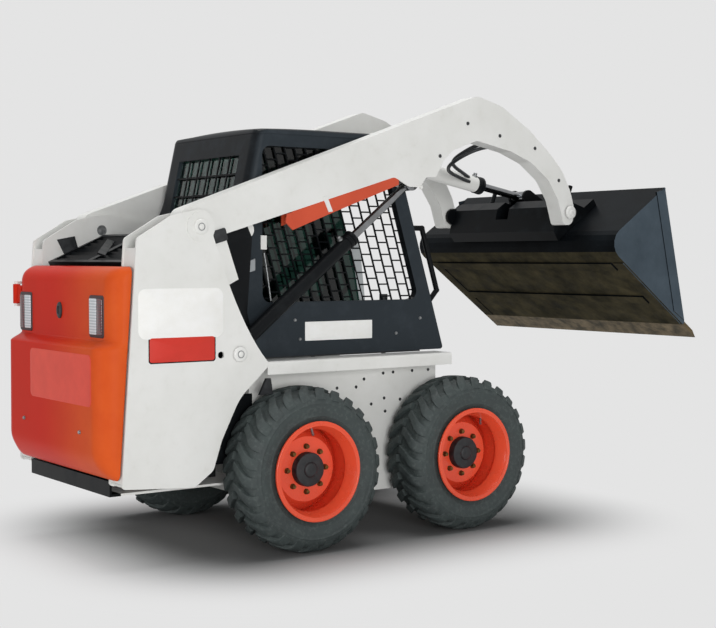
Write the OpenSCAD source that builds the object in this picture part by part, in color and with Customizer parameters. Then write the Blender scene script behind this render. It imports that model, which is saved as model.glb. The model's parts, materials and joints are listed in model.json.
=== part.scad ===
// Compact skid steer loader: rigid four-wheel chassis, tilting cab, radial lift arms and a dirt bucket.
// Frame: X forwards, Y to the machine's left, Z up, ground at zero, millimetres.
// Outlines are drawn about the mid-wheelbase; every sub-part is then moved so that X = 0 is mid-length.

/* [Wheels] */
// Distance between the front and rear axles
wheelbase = 900; // [860:5:960]
// Tyre diameter over the tread
tyre_d = 736; // [716:2:744]
// Tyre section width
tyre_w = 265; // [250:1:272]
// Gap between a chain case and its tyres
tyre_gap = 13; // [12:1:40]
// Diameter over the rim flanges
rim_flange_d = 444; // [430:2:460]
// Depth of the wheel dish from the outer rim flange to the disc
rim_dish = 104; // [80:1:115]
// Wheel bolt circle
wheel_bolt_circle = 203; // [190:1:215]

/* [Chassis] */
// Face of a chain case beyond the cab's side
case_margin = 12; // [8:1:12]
// Width of a chain case
case_w = 130; // [120:1:140]
// Underside of the belly plate above the ground
ground_clearance = 200; // [180:5:230]
// Top of the fenders
fender_top = 850; // [835:1:852]
// Plate thickness of the chassis
plate = 10; // [8:1:12]
// Width over an upright's two plates
tower_w = 126; // [124:1:130]
// Rearmost line of the tailgate behind the mid-wheelbase
rear_overhang = 1415; // [1405:1:1430]

/* [Lift arms] */
// Arm pivot behind the mid-wheelbase
arm_pivot_back = 956; // [950:1:962]
// Height of the arm pivot
arm_pivot_h = 1437; // [1430:1:1442]
// Pivot to bucket pin along X, as parked
arm_reach = 2185; // [2175:1:2200]
// Bucket pin above the arm pivot, as parked
arm_pin_rise = 103; // [100:1:110]
// Top of the knee above the arm pivot, as parked
knee_rise = 658; // [650:1:668]
// Width of an arm's box section
arm_w = 92; // [90:1:93]
// Radius of the arm pivot pins
arm_pin_r = 25; // [22:1:28]

/* [Hydraulics] */
// Outer radius of the lift cylinder barrels
lift_barrel_r = 33; // [30:1:33]
// Lift rod radius
lift_rod_r = 19; // [16:1:22]
// Outer radius of the tilt cylinder barrel
tilt_barrel_r = 42; // [38:1:44]
// Tilt rod radius
tilt_rod_r = 21; // [18:1:24]

/* [Bucket] */
// Width over the bucket's side plates
bucket_w = 1574; // [1500:2:1600]
// Floor length from heel to cutting edge
bucket_floor = 841; // [820:1:860]
// Back length from heel to lip
bucket_back = 521; // [510:1:530]
// Bucket pin above the floor
bucket_drop = 132; // [128:1:138]
// Bucket pin behind the heel
bucket_set = 90; // [88:1:96]
// Forward lean of the bucket's back
bucket_lean = 19.9; // [19:0.1:21]
// Dump angle of the parked bucket
bucket_park = 36.2; // [34:0.1:38]
// Thickness of the cutting edge
edge_t = 18; // [14:1:22]

/* [Cab] */
// Half width of the cab
cab_half = 400; // [396:1:402]
// Top of the roof
roof_top = 1905; // [1900:1:1925]
// Thickness of the roof
roof_t = 37; // [30:1:45]
// Underside of the cab's side panels
cab_base = 858; // [856:1:862]
// Foot of the front posts ahead of the mid-wheelbase
cab_front = 488; // [480:1:490]
// Backward lean of the front posts over their height
cab_front_lean = 311; // [300:1:325]
// Thickness of the cab walls
cab_wall = 38; // [32:1:44]
// Spacing of the side mesh bars
mesh_pitch = 57; // [50:1:70]

/* [Hidden] */
$fn = 48;
// One overrun serves all cuts
over = 2;
// Running clearance at pins, rods and spindles
fit = 0.3;
// Clearance between moving plates
gap = 6;
// Steps in a fillet and in a long curve
arc_steps = 5;
curve_steps = 10;

body_white = "#d8d8d4";
hot_orange = "#cf4a2c";
deep_black = "#26292d";
rubber_grey = "#3a3f41";
bucket_blue = "#3c424c";
bare_steel = "#9a9c9e";
glass_green = "#9fb8ac";

// Points and paths
function unit(v) = v / norm(v);
function turn(p, a) = [p.x * cos(a) - p.y * sin(a), p.x * sin(a) + p.y * cos(a)];
function flat(p) = [p.x, p.y];
function arc(c, r, a0, a1, n = curve_steps) =
  [for (i = [0 : n]) c + r * [cos(a0 + (a1 - a0) * i / n), sin(a0 + (a1 - a0) * i / n)]];
function bend(a, b, c, n = curve_steps) =
  [for (i = [0 : n]) let (t = i / n) (1 - t) * (1 - t) * a + 2 * t * (1 - t) * b + t * t * c];
// Fillet of radius r at the corner b of the path a, b, c
function corner(a, b, c, r) =
  let (u = unit(a - b), w = unit(c - b), half = acos(u * w) / 2, o = b + unit(u + w) * r / sin(half),
       p = b + u * r / tan(half), q = b + w * r / tan(half),
       a0 = atan2(p.y - o.y, p.x - o.x), a1 = atan2(q.y - o.y, q.x - o.x),
       sweep = (a1 - a0 + 540) % 360 - 180)
  r == 0 ? [b] : arc(o, r, a0, a0 + sweep, arc_steps);
// Closed outline from corners [x, z, fillet radius]
function rounded(pts) = let (n = len(pts))
  [for (i = [0 : n - 1])
    each corner(flat(pts[(i + n - 1) % n]), flat(pts[i]), flat(pts[(i + 1) % n]), pts[i].z)];
// Corners as shares of a width and a height from a datum, with fillets as shares of a third size
function placed(shares, datum, w, h, r) =
  [for (s = shares) [datum.x + s.x * w, datum.y + s.y * h, s.z * r]];
// Outline of a link: two discs and their common tangents
function link(p, rp, q, rq) =
  let (d = q - p, a = atan2(d.y, d.x), off = acos((rp - rq) / norm(d)))
  concat(arc(p, rp, a + off, a + 360 - off), arc(q, rq, a - off, a + off));

// An XZ outline extruded between two Y planes
module along_y(y0, y1) {
  translate([0, y1, 0]) rotate([90, 0, 0]) linear_extrude(y1 - y0) children();
}
// A YZ outline extruded between two X planes
module along_x(x0, x1) {
  translate([x0, 0, 0]) rotate([90, 0, 90]) linear_extrude(x1 - x0) children();
}
// A shaft along Y at an XZ point
module shaft_y(p, r, y0, y1) {
  translate([p.x, y1, p.y]) rotate([90, 0, 0]) cylinder(r = r, h = y1 - y0);
}
module both_sides() {
  children();
  mirror([0, 1, 0]) children();
}
// A round bar through a list of points, with slightly swollen corners
corner_share = 1.08;
module bar(pts, r) {
  for (i = [0 : len(pts) - 2]) let (d = pts[i + 1] - pts[i])
    translate(pts[i]) rotate([0, acos(d.z / norm(d)), atan2(d.y, d.x)]) cylinder(r = r, h = norm(d));
  for (i = [1 : len(pts) - 2]) translate(pts[i]) sphere(r = r * corner_share);
}
// Moves a sub-part from the mid-wheelbase frame to the mid-length frame
module placed_part() {
  translate([-x_mid, 0, 0]) children();
}

// Sideways places, from the cab out to the tyres
case_out = cab_half + case_margin;
case_in = case_out - case_w;
tower_in = case_out;
tower_out = tower_in + tower_w;
arm_y = (tower_in + tower_out) / 2;
arm_out = arm_y + arm_w / 2;
arm_in = arm_y - arm_w / 2;
tyre_mid_y = case_out + tyre_gap + tyre_w / 2;

// Main points in the mid-wheelbase frame
tyre_r = tyre_d / 2;
arm_pivot = [-arm_pivot_back, arm_pivot_h];
bucket_pin = arm_pivot + [arm_reach, arm_pin_rise];
// Bucket points in its own level frame, from the pin
heel = [bucket_set, -bucket_drop];
floor_tip = heel + [bucket_floor, 0];
lip = heel + bucket_back * [sin(bucket_lean), cos(bucket_lean)];
function parked(p) = bucket_pin + turn(p, -bucket_park);
x_mid = (parked(floor_tip).x - rear_overhang) / 2;

// Wheels
axle_x = wheelbase / 2;
rim_r = rim_flange_d / 2;
bead_depth = 12;
bead_r = rim_r - bead_depth;
rim_t = 8;
bead_inset = 10;
rim_half = tyre_w / 2 - bead_inset;
flange_w = 8;
disc_t = 12;
disc_out = rim_half + flange_w - rim_dish;
hub_r = 66;
hub_proud = 34;
hub_flange_t = 18;
hub_dish_r = 145;
spindle_r = 40;
spindle_len = 120;
wheel_bolts = 8;
wheel_bolt_r = 8;

// Tyre rings from one bead to the middle: share of the half width, then of the height at a lug and in a gap,
// then the part of the stagger between the two rows of lugs
tyre_rings = [[0.82, 0, 0, 0], [1, 0.45, 0.45, 0], [0.93, 0.9, 0.78, 1], [0.1, 1, 0.873, 1], [0, 0.9, 0.9, 0]];
lug_count = 26;
lug_sweep = 11;
// Columns of one lug as shares of its pitch: the two edges of its top, then the floor of the gap
lug_columns = [-0.25, 0.25, 0.5];
lug_pitch = 360 / lug_count;
columns = lug_count * len(lug_columns);
rings = 2 * len(tyre_rings) - 1;
function tyre_ring(j) = tyre_rings[j < len(tyre_rings) ? j : rings - 1 - j];
function tyre_point(j, c) =
  let (s = tyre_ring(j), side = sign(j - len(tyre_rings) + 1), k = c % len(lug_columns),
       high = k < len(lug_columns) - 1 ? s.y : s.z, r = bead_r / cos(lug_pitch / 4),
       reach = high > 0 ? bead_r + high * (tyre_r - bead_r) : r,
       turned = (floor(c / len(lug_columns)) + lug_columns[k] + side * s[3] / 4) * lug_pitch,
       at = turned + lug_sweep * (min(s.x, tyre_rings[2].x) - tyre_rings[3].x) + 90)
  [reach * cos(at), reach * sin(at), side * s.x * tyre_w / 2];

module wheel_place(front, left) {
  placed_part() translate([front * axle_x, left * tyre_mid_y, tyre_r])
    rotate([-90, 0, 0]) mirror([0, 0, left < 0 ? 1 : 0]) children();
}

module tyre(front, left) {
  points = [for (j = [0 : rings - 1]) for (c = [0 : columns - 1]) tyre_point(j, c)];
  faces = [for (j = [0 : rings - 1]) for (c = [0 : columns - 1])
    let (a = j * columns + c, b = j * columns + (c + 1) % columns, n = ((j + 1) % rings) * columns,
         d = n + c, e = n + (c + 1) % columns) each [[a, d, e], [a, e, b]]];
  color(rubber_grey) wheel_place(front, left) polyhedron(points, faces);
}

module rim_section() {
  barrel_r = bead_r - fit;
  // Barrel with its two flanges
  translate([barrel_r - rim_t, -rim_half - flange_w]) square([rim_t, 2 * (rim_half + flange_w)]);
  for (s = [-1, 1]) translate([barrel_r - rim_t, s > 0 ? rim_half + fit : -rim_half - flange_w])
    square([rim_r - barrel_r + rim_t, flange_w - fit]);
  // Dished disc from the barrel in to the hub
  polygon([[0, disc_out - disc_t], [hub_dish_r, disc_out - disc_t], [barrel_r - rim_t, -rim_half / 2],
    [barrel_r - rim_t, -rim_half / 2 + disc_t], [hub_dish_r, disc_out], [hub_r, disc_out],
    [hub_r, disc_out + hub_proud], [0, disc_out + hub_proud]]);
}

module rim(front, left) {
  color(hot_orange) wheel_place(front, left) {
    difference() {
      rotate_extrude() rim_section();
      for (i = [0 : wheel_bolts - 1]) rotate([0, 0, i * 360 / wheel_bolts])
        translate([wheel_bolt_circle / 2, 0, disc_out - disc_t - over])
          cylinder(r = wheel_bolt_r, h = disc_t + 2 * over);
    }
    // Hub flange and spindle behind the disc
    translate([0, 0, disc_out - disc_t - hub_flange_t])
      cylinder(r = wheel_bolt_circle / 2 - 2 * wheel_bolt_r, h = hub_flange_t);
    translate([0, 0, disc_out - disc_t - hub_flange_t - spindle_len]) cylinder(r = spindle_r, h = spindle_len);
  }
}

// Axle housings stand out of the chain cases and carry the wheel spindles
housing_r = 58;
housing_flange_r = 92;
housing_flange_t = 14;
hub_face = tyre_mid_y + disc_out - disc_t - hub_flange_t;

module axle_housings() {
  color(deep_black) placed_part() for (x = [-axle_x, axle_x]) both_sides() difference() {
    union() {
      shaft_y([x, tyre_r], housing_r, case_out, hub_face - gap);
      shaft_y([x, tyre_r], housing_flange_r, case_out, case_out + housing_flange_t - over);
    }
    shaft_y([x, tyre_r], spindle_r + fit, hub_face - spindle_len - over, hub_face + over);
  }
}

// Chassis tub, its chain cases and the fenders
case_top = 600;
tub_front = 590;
tub_front_lean = 30;
tub_front_top = 540;
step_depth = 90;
tub_rear = -640;
rear_floor = 305;
kick_run = 110;
frame_rear = -1270;
fender_lip = 58;
fender_front = 430;
tower_front = -619;

module case_section() {
  difference() {
    translate([case_in, ground_clearance]) square([case_out - case_in, case_top - ground_clearance]);
    translate([case_in + plate, ground_clearance + plate])
      square([case_out - case_in - 2 * plate, case_top - ground_clearance - 2 * plate]);
  }
}

// Fender: a shelf with a folded lip, from the chain case's upper wall out over the wheels
module fender_section() {
  polygon(rounded([[case_out, fender_top - plate, 0], [tower_out - plate, fender_top - plate, 0],
    [tower_out - plate, fender_top - fender_lip, 0], [tower_out, fender_top - fender_lip, 0],
    [tower_out, fender_top, plate], [case_out, fender_top, 0]]));
}
module fenders() {
  color(body_white) placed_part() both_sides() along_x(tower_front, fender_front) fender_section();
}

// Belly plate: front wall with its step, flat floor, kick-up and engine floor
module belly_section() {
  front_top = [tub_front - tub_front_lean, tub_front_top];
  polygon([[tub_front, ground_clearance], front_top, front_top - [step_depth, 0],
    front_top - [step_depth, plate], front_top - [plate, plate], [tub_front - plate, ground_clearance + plate],
    [tub_rear + kick_run, ground_clearance + plate], [tub_rear, rear_floor + plate],
    [frame_rear, rear_floor + plate], [frame_rear, rear_floor], [tub_rear, rear_floor],
    [tub_rear + kick_run, ground_clearance]]);
}

module main_frame() {
  color(body_white) placed_part() {
    both_sides() {
      along_x(tub_rear, tub_front - tub_front_lean) case_section();
      along_x(tub_rear, fender_front) translate([case_out - plate, case_top - plate])
        square([plate, fender_top - case_top + plate]);
    }
    along_y(-case_out, case_out) belly_section();
    // Firewall between the engine bay and the footwell
    translate([tub_rear, -case_out, rear_floor]) cube([plate, 2 * case_out, fender_top - rear_floor]);
  }
}

// Uprights: two plates joined by a rear and a bottom wall, with the arm swinging between them
tower_len = 708;
tower_h = 1170;
tower_foot = 330;
tower_rear = tower_front - tower_len;
boss_r = 74;
lift_base_share = [0.794, 0.478];
tie_hole_share = [0.665, 0.478];
lift_base = tower_point(lift_base_share);
tie_hole = tower_point(tie_hole_share);
tie_hole_r = 15;
cyl_pin_r = 19;
cab_pivot = [-655, 1430];
cab_pivot_r = 16;
cab_lug_r = 38;
// Corners of the lower edge, from the rear foot to the fender
tower_low_shares = [[0, 0.02, 0.015], [0.48, 0, 0.03], [0.61, 0.055, 0.045], [0.67, 0.165, 0.2],
  [0.797, 0.315, 0.2], [1, 0.425, 0]];
tower_back_shares = [[0.336, 0.986, 0.03], [0.105, 0.903, 0.02]];
tower_sweep_share = [0.80, 0.58];
inner_sweep_share = [0.90, 0.62];

function tower_point(s) = [tower_rear + s.x * tower_len, tower_foot + s.y * tower_h];
function tower_low() = placed(tower_low_shares, [tower_rear, tower_foot], tower_len, tower_h, tower_h);
function tower_back() = placed(tower_back_shares, [tower_rear, tower_foot], tower_len, tower_h, tower_h);
function sharp(pts) = [for (p = pts) [p.x, p.y, 0]];

function outer_plate() = rounded(concat(tower_low(), [[tower_front, fender_top, 0]],
  sharp(bend([tower_front, fender_top], tower_point(tower_sweep_share),
    arm_pivot + boss_r * [cos(-30), sin(-30)])),
  sharp(arc(arm_pivot, boss_r, -10, 100)), tower_back()));
function inner_plate() = rounded(concat(tower_low(), [[tower_front, fender_top, 0]],
  sharp(bend([tower_front, fender_top], tower_point(inner_sweep_share), cab_pivot + [0, -cab_lug_r])),
  sharp(arc(cab_pivot, cab_lug_r, -70, 100)), sharp(arc(arm_pivot, boss_r, 80, 100)), tower_back()));
// The walls stand a little inside the plates' edges and end short of their rounded corners
tower_heel = tower_point(flat(tower_low_shares[0]));
tower_toe = tower_point(flat(tower_low_shares[1]));
tower_nape = tower_point(flat(tower_back_shares[1]));
wall_end = 2 * plate;
function rear_wall() = [tower_heel + [over, wall_end], tower_heel + [over + plate, wall_end],
  tower_nape + [over + plate, -2 * wall_end], tower_nape + [over, -2 * wall_end]];
function foot_wall() = [tower_heel + [wall_end, over], tower_toe + [-2 * wall_end, over],
  tower_toe + [-2 * wall_end, over + plate], tower_heel + [wall_end, over + plate]];

module upright() {
  difference() {
    union() {
      along_y(tower_out - plate, tower_out) polygon(outer_plate());
      along_y(tower_in, tower_in + plate) polygon(inner_plate());
      along_y(tower_in + plate / 2, tower_out - plate / 2) {
        polygon(rear_wall());
        polygon(foot_wall());
      }
      shaft_y(arm_pivot, boss_r - plate, tower_out - plate / 2, tower_out + plate / 2);
    }
    shaft_y(arm_pivot, arm_pin_r, tower_in - over, tower_out + plate);
    shaft_y(lift_base, cyl_pin_r, tower_in - over, tower_out + plate);
    shaft_y(tie_hole, tie_hole_r, tower_out - plate - over, tower_out + over);
  }
  // Cab pivot pin on the inner plate
  shaft_y(cab_pivot, cab_pivot_r, cab_half - cab_wall + over, tower_in + plate / 2);
}
// Tailgate hinges on the left upright: a pin between two ears, twice
gate_margin = 38;
gate_half = tower_out - gate_margin;
gate_top = 1270;
gate_foot = 385;
hinge_r = 9;
knuckle_r = 17;
knuckle_h = 90;
hinge_ear_h = 12;
hinge_ear_r = hinge_r + over;
hinge_gap = 1;
gate_hinge = [-1345, gate_half + hinge_ear_r + over];
knuckle_z_shares = [0.14, 0.8];
knuckle_zs = [for (s = knuckle_z_shares) gate_foot + s * (gate_top - gate_foot)];
module gate_hinge_ears(z) {
  root_x = tower_nape.x;
  for (e = [z - hinge_gap - hinge_ear_h, z + knuckle_h + hinge_gap])
    translate([0, 0, e]) linear_extrude(hinge_ear_h)
      polygon(concat(arc(gate_hinge, hinge_ear_r, 90, 270),
        [[root_x, gate_hinge.y - hinge_ear_r], [root_x, gate_hinge.y + hinge_ear_r]]));
  translate([gate_hinge.x, gate_hinge.y, z - hinge_gap - hinge_ear_h])
    cylinder(r = hinge_r, h = knuckle_h + 2 * (hinge_gap + hinge_ear_h));
}
module upright_left() {
  color(body_white) placed_part() {
    upright();
    for (z = knuckle_zs) gate_hinge_ears(z);
  }
}
module upright_right() {
  color(body_white) placed_part() mirror([0, 1, 0]) upright();
}

// Pins that carry the arms and the feet of the lift cylinders
pin_head_r = 32;
pin_head_t = 8;

module pivot_pins() {
  color(bare_steel) placed_part() both_sides() {
    shaft_y(arm_pivot, arm_pin_r - fit / 10, tower_in, tower_out + plate / 2);
    shaft_y(arm_pivot, pin_head_r, tower_out + plate / 2, tower_out + plate / 2 + pin_head_t);
    shaft_y(lift_base, cyl_pin_r - fit / 10, tower_in, tower_out);
    shaft_y(lift_base, pin_head_r - pin_head_t, tower_out, tower_out + pin_head_t);
  }
}

// Rear bumper: a channel across the foot of the frame
bumper_h = 66;
bumper_depth = 52;

module rear_bumper() {
  color(deep_black) placed_part() difference() {
    translate([frame_rear - bumper_depth, -tower_in, rear_floor]) cube([bumper_depth, 2 * tower_in, bumper_h]);
    translate([frame_rear - bumper_depth + plate, -tower_in - over, rear_floor + plate])
      cube([bumper_depth, 2 * (tower_in + over), bumper_h - 2 * plate]);
  }
}

// Rear grille: sloping louvres in a frame, and the deck that runs on to the cab
grille_drop = 41;
grille_low = [-1222, gate_top - over];
grille_high = [-938, arm_pivot_h - grille_drop];
deck_front = -735;
grille_bar = 22;
louvre_t = 6;
louvre_tilt = 20;
louvres = 8;

module rear_grille() {
  run = norm(grille_high - grille_low);
  slope = atan2(grille_high.y - grille_low.y, grille_high.x - grille_low.x);
  color(deep_black) placed_part() {
    translate([grille_low.x, 0, grille_low.y]) rotate([0, -slope, 0]) {
      for (x = [0, run - grille_bar]) translate([x, -tower_in, 0]) cube([grille_bar, 2 * tower_in, grille_bar]);
      both_sides() translate([0, tower_in - grille_bar, 0]) cube([run, grille_bar, grille_bar]);
      translate([0, -grille_bar, 0]) cube([run, 2 * grille_bar, grille_bar]);
      for (i = [1 : louvres]) translate([i * run / (louvres + 1), 0, 0]) rotate([0, slope + louvre_tilt, 0])
        translate([-louvre_t / 2, -tower_in + grille_bar / 2, 0])
          cube([louvre_t, 2 * tower_in - grille_bar, grille_bar]);
    }
    translate([grille_high.x - grille_bar / 2, -tower_in, grille_high.y])
      cube([deck_front - grille_high.x + grille_bar / 2, 2 * tower_in, plate]);
  }
}

// Engine and hydraulic pack as one block on the engine floor
engine_rear = -1215;
engine_front = -720;
engine_margin = 32;
engine_half = case_in - engine_margin;
engine_top = 1010;
engine_chamfer = 60;

module engine() {
  color(deep_black) placed_part() along_y(-engine_half, engine_half)
    polygon([[engine_rear, rear_floor + plate], [engine_front, rear_floor + plate],
      [engine_front, engine_top - engine_chamfer], [engine_front - engine_chamfer, engine_top],
      [engine_rear + engine_chamfer, engine_top], [engine_rear, engine_top - engine_chamfer]]);
}

// Steering levers and foot pedals
lever_x = 190;
lever_r = 11;
lever_top = 1130;
grip_r = 20;
lever_y = case_in + grip_r + 2 * over;
grip_len = 120;
console_w = 90;
console_h = 120;
pedal_y = case_in / 2;
pedal_w = 110;
pedal_len = 180;
pedal_t = 12;
pedal_slope = 25;
pedal_foot = [330, 340];

module controls() {
  pedal_tip = pedal_foot + pedal_len * [cos(pedal_slope), sin(pedal_slope)];
  color(deep_black) placed_part() both_sides() {
    translate([lever_x - console_w, case_in + plate / 2, case_top]) cube([2 * console_w, console_w, console_h]);
    translate([lever_x, lever_y, case_top + console_h - plate])
      cylinder(r = lever_r, h = lever_top - case_top - console_h);
    translate([lever_x, lever_y, lever_top - grip_len]) cylinder(r = grip_r, h = grip_len);
    // Pedal: a sloping plate on its stalk
    along_y(pedal_y - pedal_w / 2, pedal_y + pedal_w / 2)
      polygon([pedal_foot, pedal_tip, pedal_tip + [0, pedal_t], pedal_foot + [0, pedal_t]]);
    along_y(pedal_y - pedal_t, pedal_y + pedal_t)
      polygon([[pedal_foot.x + pedal_len / 3, ground_clearance + plate],
        [pedal_foot.x + pedal_len / 2, ground_clearance + plate],
        pedal_foot + pedal_len / 2 * [1, tan(pedal_slope)],
        pedal_foot + pedal_len / 3 * [1, tan(pedal_slope)]]);
  }
}

// Cab: side walls with their screens, rear wall, seat pan and roof
roof_base = roof_top - roof_t;
cab_rear_top = -585;
cab_rear_mid = [-690, 1400];
cab_rear_foot = -620;
cab_round = 40;
post_w = 78;
panel_top = 1105;
screen_top = 1808;
screen_rear = -560;
pan_z = 960;
pan_front = -150;
pan_t = 25;
glass_margin = 120;
rear_glass_half = cab_half - glass_margin;
rear_glass_low = 1505;
rear_glass_high = 1770;
header_h = 64;
header_z = roof_base - header_h;
function front_line(z) = cab_front - cab_front_lean * (z - cab_base) / (roof_base - cab_base);
function rear_line(z) = cab_rear_mid.x
  + (cab_rear_top - cab_rear_mid.x) * (z - cab_rear_mid.y) / (roof_base - cab_rear_mid.y);

cab_outline = [[cab_front, cab_base, cab_round / 3], [front_line(roof_base), roof_base, 0],
  [cab_rear_top, roof_base, 0], [cab_rear_mid.x, cab_rear_mid.y, 0], [cab_rear_foot, cab_base, 0]];
screen_outline = [[front_line(panel_top) - post_w, panel_top, cab_round],
  [front_line(screen_top) - post_w, screen_top, cab_round], [screen_rear, screen_top, cab_round],
  [screen_rear, panel_top, cab_round]];

module cab_frame() {
  cab_in = cab_half - cab_wall;
  color(deep_black) placed_part() {
    both_sides() difference() {
      along_y(cab_in, cab_half) polygon(rounded(cab_outline));
      along_y(cab_in - over, cab_half + over) polygon(rounded(screen_outline));
      shaft_y(cab_pivot, cab_pivot_r + fit, cab_in - over, cab_half + over);
    }
    // Rear wall with its window
    difference() {
      along_y(-cab_in, cab_in)
        polygon([[cab_rear_top, roof_base], cab_rear_mid, [cab_rear_foot, cab_base],
          [cab_rear_foot + cab_wall, cab_base], cab_rear_mid + [cab_wall, 0],
          [cab_rear_top + cab_wall, roof_base]]);
      along_x(cab_rear_mid.x - over, cab_rear_top + 2 * cab_wall) translate([-rear_glass_half, rear_glass_low])
        square([2 * rear_glass_half, rear_glass_high - rear_glass_low]);
    }
    // Header over the front opening
    along_y(-cab_in, cab_in)
      polygon([[front_line(roof_base), roof_base], [front_line(header_z), header_z],
        [front_line(header_z) - cab_wall, header_z], [front_line(roof_base) - cab_wall, roof_base]]);
    // Seat pan and its front skirt
    translate([cab_rear_foot + cab_wall / 2, -cab_in, pan_z])
      cube([pan_front - cab_rear_foot - cab_wall / 2, 2 * cab_in, pan_t]);
    translate([pan_front - pan_t, -cab_in, cab_base]) cube([pan_t, 2 * cab_in, pan_z - cab_base]);
  }
}

// Roof: a crowned plate, rounded along its rear edge, across its sides and at its corners in plan
roof_round = 70;
roof_edge = 30;
roof_brow = 120;
module cab_roof() {
  x0 = cab_rear_top;
  x1 = front_line(roof_base);
  color(deep_black) placed_part() intersection() {
    along_y(-cab_half, cab_half) polygon(rounded([[x0, roof_base, 0], [x1, roof_base, 0],
      [x1, roof_top - plate, plate], [x0 + 3 * roof_brow, roof_top, roof_brow],
      [x0 + plate, roof_top - roof_edge / 2, roof_edge / 2]]));
    along_x(x0, x1) polygon(rounded([[-cab_half, roof_base, 0], [cab_half, roof_base, 0],
      [cab_half, roof_top - roof_edge / 2, roof_edge / 2], [roof_brow, roof_top, 4 * roof_brow],
      [-roof_brow, roof_top, 4 * roof_brow], [-cab_half, roof_top - roof_edge / 2, roof_edge / 2]]));
    translate([0, 0, roof_base]) linear_extrude(roof_t)
      polygon(rounded([for (c = [[0, -1], [1, -1], [1, 1], [0, 1]])
        [c.x > 0 ? x1 : x0, c.y * cab_half, roof_round]]));
  }
}

screen_bar = 7;
glass_t = 6;
// Side screens: strands that lean with the front post, tied by rungs staggered from column to column
module side_screens() {
  y1 = cab_half - cab_wall / 2;
  lean = cab_front_lean / (roof_base - cab_base);
  h = screen_top - panel_top;
  cols = ceil((screen_outline[0].x - screen_rear + lean * h) / mesh_pitch);
  rows = ceil(h / mesh_pitch);
  color(deep_black) placed_part() both_sides() intersection() {
    along_y(y1 - screen_bar, y1) polygon(rounded(screen_outline));
    along_y(y1 - screen_bar - over, y1 + over) for (i = [0 : cols]) {
      x = screen_rear + i * mesh_pitch;
      polygon([[x, panel_top], [x + screen_bar, panel_top], [x + screen_bar - lean * h, screen_top],
        [x - lean * h, screen_top]]);
      for (k = [0 : rows]) let (z = panel_top + (k + (1 + 2 * (i % 2)) / 4) * mesh_pitch)
        translate([x + screen_bar / 2 - lean * (z - panel_top), z]) square([mesh_pitch, screen_bar]);
    }
  }
}

// Sliding side windows behind the rear of the screens, their front edges in line with the front posts
window_len = 500;
module side_windows() {
  y0 = cab_half - cab_wall + over;
  lean = cab_front_lean / (roof_base - cab_base);
  inner = [for (p = screen_outline) [p.x, p.y, p.z]];
  front = screen_rear + window_len + cab_front_lean / 4;
  color(glass_green) placed_part() both_sides() along_y(y0, y0 + glass_t) intersection() {
    polygon(rounded([[inner[0].x, inner[0].y + fit, inner[0].z], [inner[1].x, inner[1].y - fit, inner[1].z],
      [inner[2].x + fit, inner[2].y - fit, inner[2].z], [inner[3].x + fit, inner[3].y + fit, inner[3].z]]));
    polygon([[screen_rear, panel_top], [front, panel_top],
      [front - lean * (screen_top - panel_top), screen_top], [screen_rear, screen_top]]);
  }
}

module rear_window() {
  color(glass_green) placed_part() along_y(-rear_glass_half + fit, rear_glass_half - fit)
    polygon([for (s = [[0, 0], [1, 0], [1, 1], [0, 1]])
      let (z = rear_glass_low + fit + s.y * (rear_glass_high - rear_glass_low - 2 * fit))
        [rear_line(z) + cab_wall / 2 + s.x * glass_t, z]]);
}

window_bars = 5;
module rear_window_bars() {
  h = rear_glass_high - rear_glass_low - 2 * fit;
  color(deep_black) placed_part() {
    for (i = [1 : window_bars]) let (y = -rear_glass_half + i * 2 * rear_glass_half / (window_bars + 1))
      along_y(y - screen_bar / 2, y + screen_bar / 2)
        polygon([for (s = [[0, 0], [1, 0], [1, 1], [0, 1]]) let (z = rear_glass_low + fit + s.y * h)
          [rear_line(z) + screen_bar + s.x * screen_bar, z]]);
    for (k = [1, 2]) let (z = rear_glass_low + k * h / 3)
      along_y(-rear_glass_half + fit, rear_glass_half - fit)
        translate([rear_line(z) + screen_bar, z]) square([screen_bar, screen_bar]);
  }
}

seat_margin = 170;
seat_half = cab_half - seat_margin;
seat_len = 430;
seat_t = 105;
seat_back_h = 430;
seat_back_t = 100;
seat_round = 36;
seat_rake = 6;
seat_rear = -560;
module seat_block(l, w, h) {
  hull() for (x = [seat_round, l - seat_round], y = [-w + seat_round, w - seat_round]) translate([x, y, 0])
    cylinder(r = seat_round, h = h, $fn = 24);
}
module seat_cushion() {
  color(deep_black) placed_part() translate([seat_rear + seat_back_t / 4, 0, pan_z + pan_t])
    seat_block(seat_len, seat_half, seat_t);
}
// The raked back rests on the cushion's rear edge
module seat_back() {
  seat_top = pan_z + pan_t + seat_t;
  color(deep_black) placed_part()
    translate([seat_rear, 0, seat_top + fit - seat_back_t / 4 * tan(seat_rake)])
      rotate([0, -seat_rake, 0]) seat_block(seat_back_t, seat_half, seat_back_h);
}

bar_r = 16;
seat_bar_pivot = [-430, 1480];
seat_bar_front = [60, 1740];
seat_bar_half = cab_half - 2 * cab_wall;
module seat_bar() {
  color(deep_black) placed_part() bar([[seat_bar_pivot.x, cab_half - cab_wall, seat_bar_pivot.y],
    [seat_bar_pivot.x, seat_bar_half, seat_bar_pivot.y], [seat_bar_front.x, seat_bar_half, seat_bar_front.y],
    [seat_bar_front.x, -seat_bar_half, seat_bar_front.y], [seat_bar_pivot.x, -seat_bar_half, seat_bar_pivot.y],
    [seat_bar_pivot.x, -cab_half + cab_wall, seat_bar_pivot.y]], bar_r);
}

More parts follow.
